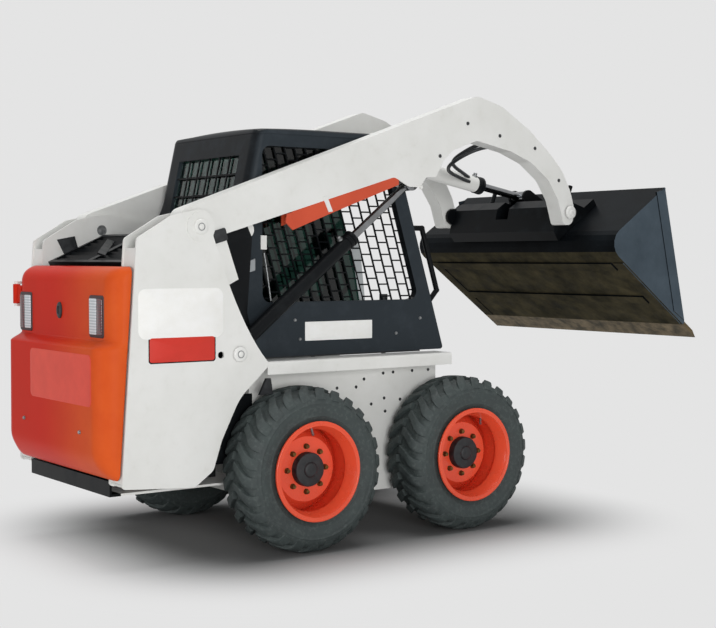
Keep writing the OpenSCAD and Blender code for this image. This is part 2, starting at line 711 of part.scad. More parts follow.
handle_high = 1450;
handle_low = 1085;
handle_reach = 62;
handle_r = 13;
module grab_handles() {
  y = cab_half - cab_wall / 2;
  bend_low = handle_low + handle_reach;
  color(deep_black) placed_part() both_sides() difference() {
    bar([[front_line(handle_high) - handle_r, y, handle_high],
      [front_line(handle_high) + handle_reach, y, handle_high],
      [front_line(bend_low) + handle_reach, y, bend_low],
      [front_line(handle_low) - handle_r, y, handle_low]], handle_r);
    // The ends are cut flush with the post
    along_y(y - cab_wall, y + cab_wall) polygon(rounded(cab_outline));
  }
}

lamp_half = 60;
lamp_h = 50;
lamp_depth = 46;
lamp_margin = 130;
lamp_y = cab_half - lamp_margin;
lamp_round = 8;
module front_lamps() {
  color(deep_black) placed_part() both_sides() along_x(front_line(header_z), front_line(roof_base) + lamp_depth)
    polygon(rounded([for (s = [[-1, 0], [1, 0], [1, 1], [-1, 1]])
      [lamp_y + s.x * lamp_half, header_z + s.y * lamp_h, lamp_round]]));
}

// Lift arms: box sections with a knee and a gooseneck, corners as shares of the reach and of the knee's rise
arm_shares = [[-0.043, 0.1, 0.068], [0.713, 1, 0.12], [0.785, 0.94, 0.25], [0.871, 0.777, 0.4],
  [0.936, 0.608, 0.35], [0.976, 0.479, 0.28], [1.003, 0.324, 0.2], [1.015, 0.202, 0.06], [1.012, 0.05, 0.06],
  [0.982, 0.062, 0.03], [0.964, 0.248, 0.15], [0.932, 0.403, 0.18], [0.878, 0.529, 0.22],
  [0.815, 0.605, 0.22], [0.712, 0.670, 0.09],
  [0.645, 0.590, 0.09], [0.617, 0.514, 0.04], [0.595, 0.388, 0.02], [0.567, 0.381, 0.03], [0.550, 0.309, 0.045],
  [0.520, 0.309, 0.045], [0.480, 0.374, 0.06], [-0.025, -0.129, 0.08]];
// Slot in the underside that takes the lift cylinder's head
slot_shares = [[0.25, 0.08, 0], [0.25, 0.235, 0], [0.36, 0.40, 0.03], [0.555, 0.56, 0.03],
  [0.585, 0.5, 0.03], [0.585, 0.2, 0]];
arm_wall = 7;
// Fillets shrink with the shorter of the reach and the knee's rise
arm_round_share = 0.3012;
arm_round = min(knee_rise, arm_reach * arm_round_share);
lift_rod_share = [0.5341, 0.3419];
lift_rod_pin = arm_point(lift_rod_share);
nose_bore_r = 22;

function arm_point(s) = arm_pivot + [s.x * arm_reach, s.y * knee_rise];
module arm() {
  difference() {
    along_y(arm_in, arm_out) polygon(rounded(placed(arm_shares, arm_pivot, arm_reach, knee_rise, arm_round)));
    along_y(arm_in + arm_wall, arm_out - arm_wall)
      polygon(rounded(placed(slot_shares, arm_pivot, arm_reach, knee_rise, arm_round)));
    shaft_y(arm_pivot, arm_pin_r + fit, arm_in - over, arm_out + over);
    shaft_y(bucket_pin, nose_bore_r + fit, arm_in - over, arm_out + over);
  }
}
module arm_left() {
  color(body_white) placed_part() arm();
}
module arm_right() {
  color(body_white) placed_part() mirror([0, 1, 0]) arm();
}

// Crosstube between the knees, with the lugs of the tilt cylinder
crosstube_share = [0.742, 0.757];
crosstube = arm_point(crosstube_share);
crosstube_r = 52;
tilt_base_share = [0.7236, 0.5137];
tilt_base = arm_point(tilt_base_share);
tilt_eye_half = tilt_barrel_r;
lug_t = 14;
lug_r = 40;
tilt_pin_r = 18;
lug_in = tilt_eye_half + gap;

module arm_crosstube() {
  color(body_white) placed_part() {
    shaft_y(crosstube, crosstube_r, -arm_in, arm_in);
    both_sides() along_y(lug_in, lug_in + lug_t)
      polygon(link(crosstube, crosstube_r - plate, tilt_base, lug_r));
    shaft_y(tilt_base, tilt_pin_r, -lug_in - lug_t - plate, lug_in + lug_t + plate);
  }
}

// Arm support: a channel carried under the right arm, open in front for the lift rod
support_ends_share = [0.218, 0.466];
support_h = 62;
support_front_h = 34;
support_web_share = 0.36;
support_t = 7;
// A point on the arm's straight underside
function arm_underside(x) = let (a = arm_shares[len(arm_shares) - 1], b = arm_shares[len(arm_shares) - 2])
  arm_point([x, a.y + (b.y - a.y) * (x - a.x) / (b.x - a.x)]);
module arm_support() {
  rear = arm_underside(support_ends_share[0]) - [0, fit];
  front = arm_underside(support_ends_share[1]) - [0, fit];
  web_end = rear + support_web_share * (front - rear);
  color(hot_orange) placed_part() mirror([0, 1, 0]) {
    for (y = [arm_in, arm_out - support_t]) along_y(y, y + support_t)
      polygon([rear, front, front - [0, support_front_h], rear - [0, support_h]]);
    along_y(arm_in, arm_out) polygon([rear, web_end, web_end - [0, support_t], rear - [0, support_t]]);
  }
}

// Hydraulic cylinders, drawn along +X from the foot pin and then turned into place
lift_span = lift_rod_pin - lift_base;
lift_len = norm(lift_span);
lift_angle = atan2(lift_span.y, lift_span.x);
lift_closed_share = 0.711;
lift_closed = lift_len * lift_closed_share;
lift_eye_half = 28;
lift_eye_r = 38;
eye_gap = 22;
barrel_wall = 6;
gland_len = 34;
piston_len = 30;
neck_share = 0.6;

module cylinder_x(r, x0, x1) {
  translate([x0, 0, 0]) rotate([0, 90, 0]) cylinder(r = r, h = x1 - x0);
}
module eye(r, half) {
  rotate([90, 0, 0]) translate([0, 0, -half]) cylinder(r = r, h = 2 * half);
}
module barrel(closed, r, rod_r, eye_r, eye_half, pin_r) {
  end = closed - eye_r - eye_gap;
  difference() {
    union() {
      eye(eye_r, eye_half);
      cylinder_x(r, eye_r * neck_share, end);
    }
    cylinder_x(r - barrel_wall, eye_r + plate, end - gland_len);
    cylinder_x(rod_r + fit, end - gland_len - over, end + over);
    eye(pin_r + fit, eye_half + over);
  }
}
// Fully closed, the piston lies just clear of the barrel's foot
module rod(len, closed, r, rod_r, eye_r, eye_half) {
  tail = len - closed + eye_r + plate + 2 * over;
  cylinder_x(rod_r, tail, len);
  cylinder_x(r - barrel_wall - fit, tail, tail + piston_len);
  translate([len, 0, 0]) eye(eye_r, eye_half);
}
module at_lift(side) {
  placed_part() translate([lift_base.x, side * arm_y, lift_base.y]) rotate([0, -lift_angle, 0]) children();
}
module lift_barrel(side) {
  color(deep_black) at_lift(side)
    barrel(lift_closed, lift_barrel_r, lift_rod_r, lift_eye_r, lift_eye_half, cyl_pin_r);
}
module lift_rod(side) {
  color(bare_steel) at_lift(side)
    rod(lift_len, lift_closed, lift_barrel_r, lift_rod_r, lift_eye_r, lift_eye_half);
}

// Tilt cylinder, from the crosstube to the quick attach
tilt_lever = 175;
tilt_lever_angle = 70.2;
tilt_rod_pin_local = tilt_lever * [cos(tilt_lever_angle), sin(tilt_lever_angle)];
tilt_rod_pin = parked(tilt_rod_pin_local);
tilt_span = tilt_rod_pin - tilt_base;
tilt_len = norm(tilt_span);
tilt_angle = atan2(tilt_span.y, tilt_span.x);
tilt_closed_share = 0.6763;
tilt_closed = tilt_len * tilt_closed_share;
tilt_eye_r = 34;

module at_tilt() {
  placed_part() translate([tilt_base.x, 0, tilt_base.y]) rotate([0, -tilt_angle, 0]) children();
}
module tilt_barrel() {
  color(deep_black) at_tilt()
    barrel(tilt_closed, tilt_barrel_r, tilt_rod_r, tilt_eye_r, tilt_eye_half, tilt_pin_r);
}
module tilt_rod() {
  color(bare_steel) at_tilt() rod(tilt_len, tilt_closed, tilt_barrel_r, tilt_rod_r, tilt_eye_r, tilt_eye_half);
}

// Quick attach: a frame against the bucket's back, pinned to the arm noses
attach_t = 42;
attach_low = -105;
attach_high = 235;
attach_h = attach_high - attach_low;
notch_low = attach_low / 2;
attach_half = arm_in - gap;
// Section of the frame along the bucket's back and off it, as shares of its height
attach_shares = [[0, 0.176], [0.28, 0.44], [0.485, 0.44]];
attach_flat = 0.75;
ear_t = 16;
ear_r = 46;
module at_bucket() {
  placed_part() translate([bucket_pin.x, 0, bucket_pin.y]) rotate([0, bucket_park, 0]) children();
}
// A point at a height along the bucket's back and a depth behind it
function on_back(u, v) = heel + (u + bucket_drop) * [sin(bucket_lean), cos(bucket_lean)]
  - v * [cos(bucket_lean), -sin(bucket_lean)];
module quick_attach() {
  color(deep_black) at_bucket() {
    difference() {
      along_y(-attach_half, attach_half) polygon(concat([on_back(attach_low, fit)],
        [for (s = attach_shares) on_back(attach_low + s.x * attach_h, s.y * attach_h)],
        [on_back(attach_low + attach_flat * attach_h, attach_t), on_back(attach_high, attach_t),
         on_back(attach_high, fit)]));
      // Way for the tilt cylinder between its lugs
      along_y(-lug_in, lug_in) polygon([on_back(notch_low, -over), on_back(notch_low, attach_h),
        on_back(attach_high + over, attach_h), on_back(attach_high + over, -over)]);
    }
    both_sides() {
      along_y(attach_half - ear_t, attach_half) polygon(concat(arc([0, 0], ear_r, 120, 300),
        [on_back(attach_low, attach_t / 2), on_back(attach_high / 2, attach_t / 2)]));
      along_y(lug_in, lug_in + lug_t) polygon(concat(arc(tilt_rod_pin_local, lug_r, 90, 250),
        [on_back(0, attach_t / 2), on_back(attach_high, attach_t / 2)]));
      // Hinge pin out through the arm nose
      shaft_y([0, 0], nose_bore_r, attach_half - ear_t / 2, arm_out + gap);
      shaft_y([0, 0], nose_bore_r + plate, arm_out + gap, arm_out + gap + plate);
    }
  }
}

lock_margin = 123;
lock_y = attach_half - lock_margin;
lock_r = 12;
lock_len = 130;
module attach_levers() {
  foot_u = attach_high - lock_len / 2;
  path = [on_back(foot_u, attach_t), on_back(foot_u, attach_t + lock_len / 3),
    on_back(attach_high, attach_t + 2 * lock_len / 3)];
  color(deep_black) at_bucket() both_sides() bar([for (p = path) [p.x, lock_y, p.y]], lock_r);
}

// Bucket: a bent floor-and-back plate between two side plates
bucket_plate = 10;
heel_r = 80;
edge_len = 120;
edge_bevel = 42;
strip_shares = [0.2, 0.55];
strip_w = 60;
strip_t = 10;
strip_margin = 90;
doubler_w = 66;
doubler_t = 5;
function shell_line(d) =
  let (up = [sin(bucket_lean), cos(bucket_lean)], inner = heel + [d * tan(45 + bucket_lean / 2), d])
    concat([floor_tip + [-edge_len, d]], corner(floor_tip + [0, d], inner, inner + up, heel_r - d),
      [lip + d * [up.y, -up.x]]);
function reversed(v) = [for (i = [len(v) - 1 : -1 : 0]) v[i]];
module bucket_shell() {
  half = bucket_w / 2;
  color(bucket_blue) at_bucket() {
    along_y(-half, half) polygon(concat(shell_line(0), reversed(shell_line(bucket_plate))));
    both_sides() along_y(half - bucket_plate, half)
      polygon(concat(shell_line(0), [floor_tip + [-edge_len, edge_t]]));
    // Wear strips across the floor and along its sides
    for (s = strip_shares) along_y(-half + strip_margin, half - strip_margin)
      translate(heel + [s * bucket_floor, -strip_t]) square([strip_w, strip_t + over]);
    both_sides() along_y(half - strip_margin + strip_t, half - strip_t)
      translate(heel + [strip_shares[0] * bucket_floor, -strip_t / 2])
        square([(1 - strip_shares[0]) * bucket_floor - edge_len - strip_t, strip_t / 2 + over]);
    // Doubler down the front edge of each side plate
    both_sides() along_y(half - bucket_plate / 2, half + doubler_t) polygon(doubler());
  }
}
function doubler() =
  let (tip = floor_tip + [-edge_len, edge_t], along = unit(lip - tip), into = [along.y, -along.x],
       a = tip + 2 * doubler_t * along + doubler_t * [-into.x, -into.y],
       b = lip - 2 * doubler_t * along + doubler_t * [-into.x, -into.y])
  [a, b, b - doubler_w * into, a - doubler_w * into + doubler_w * along];
module cutting_edge() {
  color(bare_steel) at_bucket() along_y(-bucket_w / 2, bucket_w / 2)
    polygon([floor_tip + [-edge_len + fit, 0], floor_tip, floor_tip + [-edge_bevel, edge_t],
      floor_tip + [-edge_len + fit, edge_t]]);
}

// Tailgate: a rounded shell hung on the left upright
gate_gap = 8;
gate_t = 26;
gate_round = 46;
gate_roll = 80;
gate_corner = 112;
gate_brow = 25;
gate_step_z = 940;
gate_inset = 60;
gate_foot_inset = 52;
gate_low_z = 480;
function gate_front(z) = tower_heel.x
  + (tower_nape.x - tower_heel.x) * (z - tower_heel.y) / (tower_nape.y - tower_heel.y) - gate_gap;
function gate_profile(d) = let (x = -rear_overhang + d) rounded([[gate_front(gate_top) + d, gate_top - d, 0],
  [x + gate_inset + gate_brow, gate_top - d, gate_brow / 2],
  [x + gate_inset, gate_top - d - 3 * gate_brow, gate_round],
  [x + gate_inset, gate_step_z + d / 2, gate_brow / 2], [x, gate_step_z - gate_inset + d / 2, gate_brow],
  [x, gate_low_z + 2 * gate_round, gate_round], [x + gate_brow, gate_low_z, gate_round],
  [x + gate_foot_inset, gate_foot + d, gate_brow / 2], [gate_front(gate_foot) + d, gate_foot + d, 0]]);
function gate_plan(d) = rounded([[gate_front(gate_top) + tower_len, -gate_half + d, 0],
  [-rear_overhang + d, -gate_half + d, gate_roll - d], [-rear_overhang + d, gate_half - d, gate_roll - d],
  [gate_front(gate_top) + tower_len, gate_half - d, 0]]);
function gate_back(d) = rounded([for (c = [[-1, 0], [1, 0], [1, 1], [-1, 1]])
  [c.x * (gate_half - d), c.y > 0 ? gate_top - d : gate_foot + d, gate_corner - d]]);
module gate_body(d) {
  intersection() {
    along_y(-gate_half, gate_half) polygon(gate_profile(d));
    linear_extrude(gate_top) polygon(gate_plan(d));
    along_x(-rear_overhang, gate_front(gate_top) + tower_len) polygon(gate_back(d));
  }
}
module tailgate() {
  color(hot_orange) placed_part() {
    difference() {
      gate_body(0);
      gate_body(gate_t);
    }
    for (z = knuckle_zs) difference() {
      translate([gate_hinge.x, gate_hinge.y, z]) cylinder(r = knuckle_r, h = knuckle_h);
      translate([gate_hinge.x, gate_hinge.y, z - over]) cylinder(r = hinge_r + fit, h = knuckle_h + 2 * over);
    }
  }
}

tail_lamp_margin = 110;
tail_lamp_y = gate_half - tail_lamp_margin;
tail_lamp_z = 1065;
tail_lamp_w = 140;
tail_lamp_h = 210;
tail_lamp_t = 18;
module tail_lamps() {
  x = -rear_overhang + gate_inset;
  color(deep_black) placed_part() both_sides() along_x(x - tail_lamp_t, x)
    polygon(rounded([for (s = [[-1, -1], [1, -1], [1, 1], [-1, 1]])
      [tail_lamp_y + s.x * tail_lamp_w / 2, tail_lamp_z + s.y * tail_lamp_h / 2, tail_lamp_t]]));
}

main_frame();
fenders();
upright_right();
upright_left();
pivot_pins();
rear_bumper();
rear_grille();
engine();
axle_housings();
controls();
cab_frame();
cab_roof();
side_screens();
side_windows();
rear_window();
rear_window_bars();
seat_cushion();
seat_back();
seat_bar();
grab_handles();
front_lamps();
arm_right();
arm_left();
arm_crosstube();
arm_support();
lift_barrel(-1);  // lift_barrel_right
lift_barrel(1);  // lift_barrel_left
lift_rod(-1);  // lift_rod_right
lift_rod(1);  // lift_rod_left
tilt_barrel();
tilt_rod();
quick_attach();
attach_levers();
bucket_shell();
cutting_edge();
tailgate();
tail_lamps();
tyre(1, -1);  // tyre_front_right
tyre(1, 1);  // tyre_front_left
tyre(-1, -1);  // tyre_rear_right
tyre(-1, 1);  // tyre_rear_left
rim(1, -1);  // rim_front_right
rim(1, 1);  // rim_front_left
rim(-1, -1);  // rim_rear_right
rim(-1, 1);  // rim_rear_left
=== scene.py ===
"""Looks of a compact skid steer loader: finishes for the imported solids, and the pieces that dress them.

Lengths below are millimetres from the middle of the wheelbase on the ground, and place() turns them into the
frame.
"""
import json
import math

import bmesh
import bpy
import numpy as np
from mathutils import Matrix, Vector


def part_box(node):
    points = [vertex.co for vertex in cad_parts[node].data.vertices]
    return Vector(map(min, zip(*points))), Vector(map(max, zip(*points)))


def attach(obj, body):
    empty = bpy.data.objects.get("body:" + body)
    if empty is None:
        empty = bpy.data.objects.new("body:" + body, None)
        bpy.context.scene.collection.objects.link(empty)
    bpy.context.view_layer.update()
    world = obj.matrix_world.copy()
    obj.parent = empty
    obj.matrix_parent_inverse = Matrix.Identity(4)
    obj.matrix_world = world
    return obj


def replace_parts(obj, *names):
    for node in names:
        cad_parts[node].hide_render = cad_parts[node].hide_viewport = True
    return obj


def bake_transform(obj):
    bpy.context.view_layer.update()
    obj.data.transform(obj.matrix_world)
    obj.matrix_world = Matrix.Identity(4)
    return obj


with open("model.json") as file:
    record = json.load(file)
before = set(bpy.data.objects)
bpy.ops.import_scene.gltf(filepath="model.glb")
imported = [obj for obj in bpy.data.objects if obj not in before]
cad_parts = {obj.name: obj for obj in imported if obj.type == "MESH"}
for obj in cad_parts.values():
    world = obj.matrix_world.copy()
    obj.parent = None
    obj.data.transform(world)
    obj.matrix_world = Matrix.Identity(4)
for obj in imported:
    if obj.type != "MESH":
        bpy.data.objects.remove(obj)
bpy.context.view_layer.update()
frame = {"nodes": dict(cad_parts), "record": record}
nodes = frame["nodes"]
MM = 0.001
WHEELS = ("front_right", "front_left", "rear_right", "rear_left")
SIDES = ((-1, "right"), (1, "left"))


def node_box(name):
    """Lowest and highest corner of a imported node, in metres."""
    return np.array([tuple(corner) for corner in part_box(name)])


WHEELBASE_MIDDLE = (node_box("tyre_front_right") + node_box("tyre_rear_right"))[:, 0].mean() / 2


def place(points):
    """Points in millimetres from the wheelbase's middle, moved into the frame in metres."""
    return np.asarray(points, float) * MM + np.array([WHEELBASE_MIDDLE, 0, 0])


def unplaced(points):
    """The way back, from the frame's metres to millimetres."""
    return (np.asarray(points, float) - place((0, 0, 0))) / MM


def box_mm(name):
    """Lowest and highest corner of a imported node, in millimetres."""
    return unplaced(node_box(name))


# Shapes from arrays

def smoothstep(t):
    """Rises from 0 to 1 with level ends: 3t^2 - 2t^3 on t held between 0 and 1."""
    t = np.clip(t, 0, 1)
    return t * t * (3 - 2 * t)


def bell(distance, width):
    """Bell curve: 1 at no distance, falling as e to the minus square of distance over width."""
    return np.exp(-(distance / width) ** 2)


def unit(v):
    """Vectors scaled to length one."""
    v = np.asarray(v, float)
    return v / np.linalg.norm(v, axis=-1, keepdims=True)


def circle(sides, phase=0.0):
    """Angles of a full turn, without the repeated end."""
    return phase + np.arange(sides) * 2 * math.pi / sides


def curve_through(points, per_span):
    """Catmull-Rom curve: each span is the cubic whose ends and end slopes come from its four nearest
    points."""
    p = np.asarray(points, float)
    p = np.concatenate([2 * p[:1] - p[1:2], p, 2 * p[-1:] - p[-2:-1]])
    t = np.linspace(0, 1, per_span, endpoint=False)[:, None]
    a, b, c, d = (p[i:len(p) - 3 + i, None] for i in range(4))
    square = 2 * a - 5 * b + 4 * c - d
    cube = 3 * b - a - 3 * c + d
    spans = 0.5 * (2 * b + (c - a) * t + square * t ** 2 + cube * t ** 3)
    return np.concatenate([spans.reshape(-1, p.shape[1]), p[-2:-1]])


def capped(rings):
    """Adds a first and a last row gathered at the ring's middle, which closes a run of rings."""
    middles = np.broadcast_to(rings.mean(-2, keepdims=True), rings.shape)
    return np.concatenate([middles[..., :1, :, :], rings, middles[..., -1:, :, :]], axis=-3)


def swept(path, profile, up):
    """A flat profile carried along a path: every ring lies square to the path's tangent, with its second
    axis near up. Both ends close on the ring's middle."""
    path = np.asarray(path, float)
    tangent = unit(np.gradient(path, axis=0))
    side = unit(np.cross(np.asarray(up, float), tangent))
    top = np.cross(tangent, side)
    return capped(path[:, None] + profile[None, :, :1] * side[:, None] + profile[None, :, 1:] * top[:, None])


def round_profile(radius, sides):
    """A circle as a flat profile."""
    a = circle(sides)
    return radius * np.stack([np.cos(a), np.sin(a)], -1)


def rounded_outline(width, height, radius, per_corner=6):
    """A rectangle with round corners: four quarter circles about the inset corners."""
    arcs = []
    for k, (sx, sy) in enumerate(((1, 1), (-1, 1), (-1, -1), (1, -1))):
        a = np.linspace(k, k + 1, per_corner) * math.pi / 2
        middle = np.array([sx * (width / 2 - radius), sy * (height / 2 - radius)])
        arcs.append(middle + radius * np.stack([np.cos(a), np.sin(a)], -1))
    return np.concatenate(arcs)


def rounded_block(middle, u, v, width, height, radius, depth, bevel):
    """A rounded rectangle raised from its middle along u x v to a depth, with its front edge drawn in by a
    bevel."""
    u, v = unit(u), unit(v)
    rings = []
    for rise, inset in ((0, 0), (depth - bevel, 0), (depth - bevel * 0.3, bevel * 0.3), (depth, bevel)):
        flat = rounded_outline(width - 2 * inset, height - 2 * inset, max(radius - inset, radius * 0.3))
        rings.append(np.asarray(middle) + flat[:, :1] * u + flat[:, 1:] * v + rise * np.cross(u, v))
    return capped(np.array(rings))


def lathe(profile, start, along, steps=48):
    """A section of (radius, offset) pairs turned about an axis through a start point, with offsets along
    it."""
    along = unit(along)
    side = unit(np.cross(along, [0.0, 1.0, 0.0] if abs(along[1]) < 0.9 else [1.0, 0.0, 0.0]))
    other = np.cross(along, side)
    a = circle(steps)
    r, t = np.asarray(profile, float).T
    ring = np.cos(a)[:, None] * side + np.sin(a)[:, None] * other
    return np.asarray(start) + r[:, None, None] * ring + t[:, None, None] * along


def hex_heads(places, axis, across, height, washer):
    """Hexagon heads on round washers at many places: a ring's radius follows the hexagon, half its width
    over the cosine of the angle to the nearest flat, and the crown row draws in."""
    axis = unit(axis)
    a_side = unit(np.cross(axis, [0.31, 0.17, 0.93]))
    b_side = np.cross(axis, a_side)
    a = circle(24)
    flat = across / 2 / np.cos((a + math.pi / 6) % (math.pi / 3) - math.pi / 6)
    disc = np.full_like(a, across * 0.68)
    radius = np.array([disc, disc, disc * 0.96, flat, flat, flat * 0.86])
    rise = np.array([0, washer * 0.8, washer, washer, washer + height * 0.82, washer + height])
    ring = radius[..., None] * (np.cos(a)[:, None] * a_side + np.sin(a)[:, None] * b_side)
    return capped(np.asarray(places, float)[:, None, None] + ring + rise[:, None, None] * axis)


# Meshes and objects

def add_object(name, data):
    """A new object, linked to the scene."""
    obj = bpy.data.objects.new(name, data)
    bpy.context.scene.collection.objects.link(obj)
    return obj


def merged(mesh, reach=0.02):
    """A mesh opened for editing, with points that are closer than a reach joined."""
    work = bmesh.new()
    work.from_mesh(mesh)
    bmesh.ops.remove_doubles(work, verts=work.verts, dist=reach * MM)
    return work


def shut(work, mesh):
    """Writes what was edited into a mesh, and frees the editor."""
    work.to_mesh(mesh)
    work.free()


def point_array(mesh):
    """A mesh's points as an array."""
    flat = np.empty(len(mesh.vertices) * 3)
    mesh.vertices.foreach_get("co", flat)
    return flat.reshape(-1, 3)


def dress(obj, body, finish, smooth):
    """Gives an object its finish, shades it smooth below an angle, and fixes it to a body."""
    mesh = obj.data
    mesh.materials.clear()
    mesh.materials.append(finish)
    mesh.shade_smooth()
    mesh.set_sharp_from_angle(angle=math.radians(smooth))
    if body:
        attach(obj, body)


def piece(name, grids, body, finish, wrap_rows=False, wrap_columns=True, wall=0.0, smooth=40):
    """One mesh from grids of points (copies, rows, columns, 3): each cell is a quad, doubles are merged so
    that caps close, and faces are turned outwards. A wall gives an open sheet its thickness."""
    points, quads, start = [], [], 0
    for grid in grids if isinstance(grids, list) else [grids]:
        grid = np.asarray(grid, float)
        grid = grid.reshape((-1,) + grid.shape[-3:])
        index = start + np.arange(grid[..., 0].size).reshape(grid.shape[:3])
        if wrap_rows:
            index = np.concatenate([index, index[:, :1]], axis=1)
        if wrap_columns:
            index = np.concatenate([index, index[:, :, :1]], axis=2)
        corners = (index[:, :-1, :-1], index[:, 1:, :-1], index[:, 1:, 1:], index[:, :-1, 1:])
        quads.append(np.stack(corners, -1).reshape(-1, 4))
        points.append(grid.reshape(-1, 3))
        start += grid[..., 0].size
    mesh = bpy.data.meshes.new(name)
    mesh.from_pydata(place(np.concatenate(points)).tolist(), [], np.concatenate(quads).tolist())
    work = merged(mesh)
    bmesh.ops.dissolve_degenerate(work, edges=work.edges, dist=0.01 * MM)
    bmesh.ops.recalc_face_normals(work, faces=work.faces)
    shut(work, mesh)
    obj = add_object(name, mesh)
    if wall:
        solid = obj.modifiers.new("wall", "SOLIDIFY")
        solid.thickness = wall * MM
        solid.offset = -1
    dress(obj, body, finish, smooth)
    return obj


# Finishes
RGBA = {"data_type": "RGBA"}
TIMES = {"operation": "MULTIPLY"}
UNSIGNED = {"operation": "ABSOLUTE"}
EASED = {"interpolation_type": "SMOOTHSTEP"}


def linear(hex_colour):
    """An sRGB hex colour as linear RGBA."""
    srgb = np.array([int(hex_colour[i:i + 2], 16) for i in (1, 3, 5)]) / 255
    rgb = np.where(srgb <= 0.04045, srgb / 12.92, ((srgb + 0.055) / 1.055) ** 2.4)
    return (*rgb.tolist(), 1.0)


def add(tree, kind, inputs=None, **settings):
    """Adds a shader node, sets its properties, gives each named or numbered input a value, a hex colour or a
    link, and returns its outputs."""
    node = tree.nodes.new("ShaderNode" + kind)
    for key, value in settings.items():
        setattr(node, key, value)
    for key, value in (inputs or {}).items():
        if isinstance(value, bpy.types.NodeSocket):
            tree.links.new(value, node.inputs[key])
        else:
            node.inputs[key].default_value = linear(value) if isinstance(value, str) else value
    return node.outputs


def per_metre(size_mm):
    """Texture scale whose cells are about this many millimetres."""
    return 1000.0 / size_mm


def empty_tree(owner):
    """The cleared node tree of a material or a world."""
    owner.use_nodes = True
    owner.node_tree.nodes.clear()
    return owner.node_tree


def new_finish(name):
    """A material, its empty tree, and the place on the piece that its patterns read."""
    material = bpy.data.materials.new(name)
    tree = empty_tree(material)
    return material, tree, add(tree, "TexCoord")["Object"]


def surface(tree, inputs):
    """Ends a finish with one principled surface; inputs go to the surface's own sockets."""
    add(tree, "OutputMaterial", {"Surface": add(tree, "BsdfPrincipled", inputs)[0]})


def patches(tree, here, size_mm, low, high, detail=4.0, roughness=0.6):
    """Noise of a real size, spread so that low becomes 0 and high becomes 1."""
    noise = add(tree, "TexNoise", {"Vector": here, "Scale": per_metre(size_mm), "Detail": detail,
                                   "Roughness": roughness})[0]
    return add(tree, "MapRange", {0: noise, 1: low, 2: high})[0]


def grainy(tree, here, size_mm, depth_mm, detail):
    """Normal of a surface that noise of a real size roughens to a real depth."""
    height = patches(tree, here, size_mm, 0.2, 0.8, detail)
    return add(tree, "Bump", {"Height": height, "Strength": 1.0, "Distance": depth_mm * MM})[0]


def filmed(tree, film, strength, clean, dust):
    """A colour under a film: the film's patches, thinned to a strength, mix the second colour in."""
    thin = add(tree, "Math", {0: film, 1: strength}, **TIMES)[0]
    return add(tree, "Mix", {0: thin, 6: clean, 7: dust}, **RGBA)[2]


def coated(name, colours, patch, roughness, strength=1.0, grain=None, **constants):
    """Two tones and two roughnesses that change together in patches of (size, low, high, detail). The second
    tone is thinned to a strength, and a grain of (size, depth, detail) roughens the surface."""
    material, tree, here = new_finish(name)
    film = patches(tree, here, *patch)
    inputs = {key.replace("_", " "): value for key, value in constants.items()}
    inputs["Base Color"] = filmed(tree, film, strength, *colours)
    inputs["Roughness"] = add(tree, "MapRange", {0: film, 3: roughness[0], 4: roughness[1]})[0]
    if grain:
        inputs["Normal"] = grainy(tree, here, *grain)
    surface(tree, inputs)
    return material


def enamel(name, colour, shade, dust, roughness=0.32):
    """Sprayed enamel on plate: faint mottling over a hand's width, a film of dust, and orange peel that is
    drawn coarser than the real 2 mm so that it shows."""
    material, tree, here = new_finish(name)
    film = patches(tree, here, 60, 0.52, 0.85)
    paint = add(tree, "Mix", {0: patches(tree, here, 240, 0.35, 0.7), 6: colour, 7: shade}, **RGBA)[2]
    dusty = add(tree, "Mix", {0: film, 6: paint, 7: dust}, **RGBA)[2]
    surface(tree, {"Base Color": filmed(tree, film, 0.35, paint, dusty), "IOR": 1.5,
                   "Specular IOR Level": 0.35,
                   "Roughness": add(tree, "MapRange", {0: film, 3: roughness, 4: roughness + 0.22})[0],
                   "Normal": grainy(tree, here, 7, 0.05, 1.0)})
    return material


def tailgate_enamel():
    """Moulded gate in sprayed enamel: red over the back, turning to orange along its right side as a painted
    highlight where the light falls on it."""
    material, tree, here = new_finish("orange_enamel_gate")
    across = add(tree, "SeparateXYZ", {0: here})[1]
    # Painted highlight: the gate's right side is drawn in a lighter orange than its back
    lit_side = add(tree, "MapRange", {0: across, 1: 0.12, 2: -0.56}, **EASED)[0]
    paint = add(tree, "Mix", {0: lit_side, 6: "#c62a1a", 7: "#d45a28"}, **RGBA)[2]
    mottle = patches(tree, here, 180, 0.35, 0.7)
    surface(tree, {"Base Color": filmed(tree, mottle, 0.25, paint, "#b32a18"), "IOR": 1.5, "Roughness": 0.3,
                   "Specular IOR Level": 0.025, "Normal": grainy(tree, here, 9, 0.05, 1.0)})
    return material


def satin_black(name, colour="#0b0d0f", dust="#30363a", roughness=0.34, side=None):
    """Satin black enamel on a welded frame: slightly blue, greyed by dust in patches, and, where a side
    colour is given, painted paler on its side faces as a painted sheen."""
    material, tree, here = new_finish(name)
    film = patches(tree, here, 90, 0.5, 0.9)
    across = add(tree, "SeparateXYZ", {0: add(tree, "TexCoord")["Normal"]})[1]
    # Painted sheen: faces that look sideways take the side colour, where one is given
    sides = add(tree, "MapRange", {0: add(tree, "Math", {0: across}, **UNSIGNED)[0], 1: 0.6, 2: 0.95})[0]
    paint = add(tree, "Mix", {0: sides, 6: colour, 7: side or colour}, **RGBA)[2]
    surface(tree, {"Base Color": filmed(tree, film, 0.3, paint, dust), "IOR": 1.5,
                   "Specular IOR Level": 0.09,
                   "Roughness": add(tree, "MapRange", {0: film, 3: roughness, 4: roughness + 0.25})[0],
                   "Normal": grainy(tree, here, 5, 0.06, 2.0)})
    return material


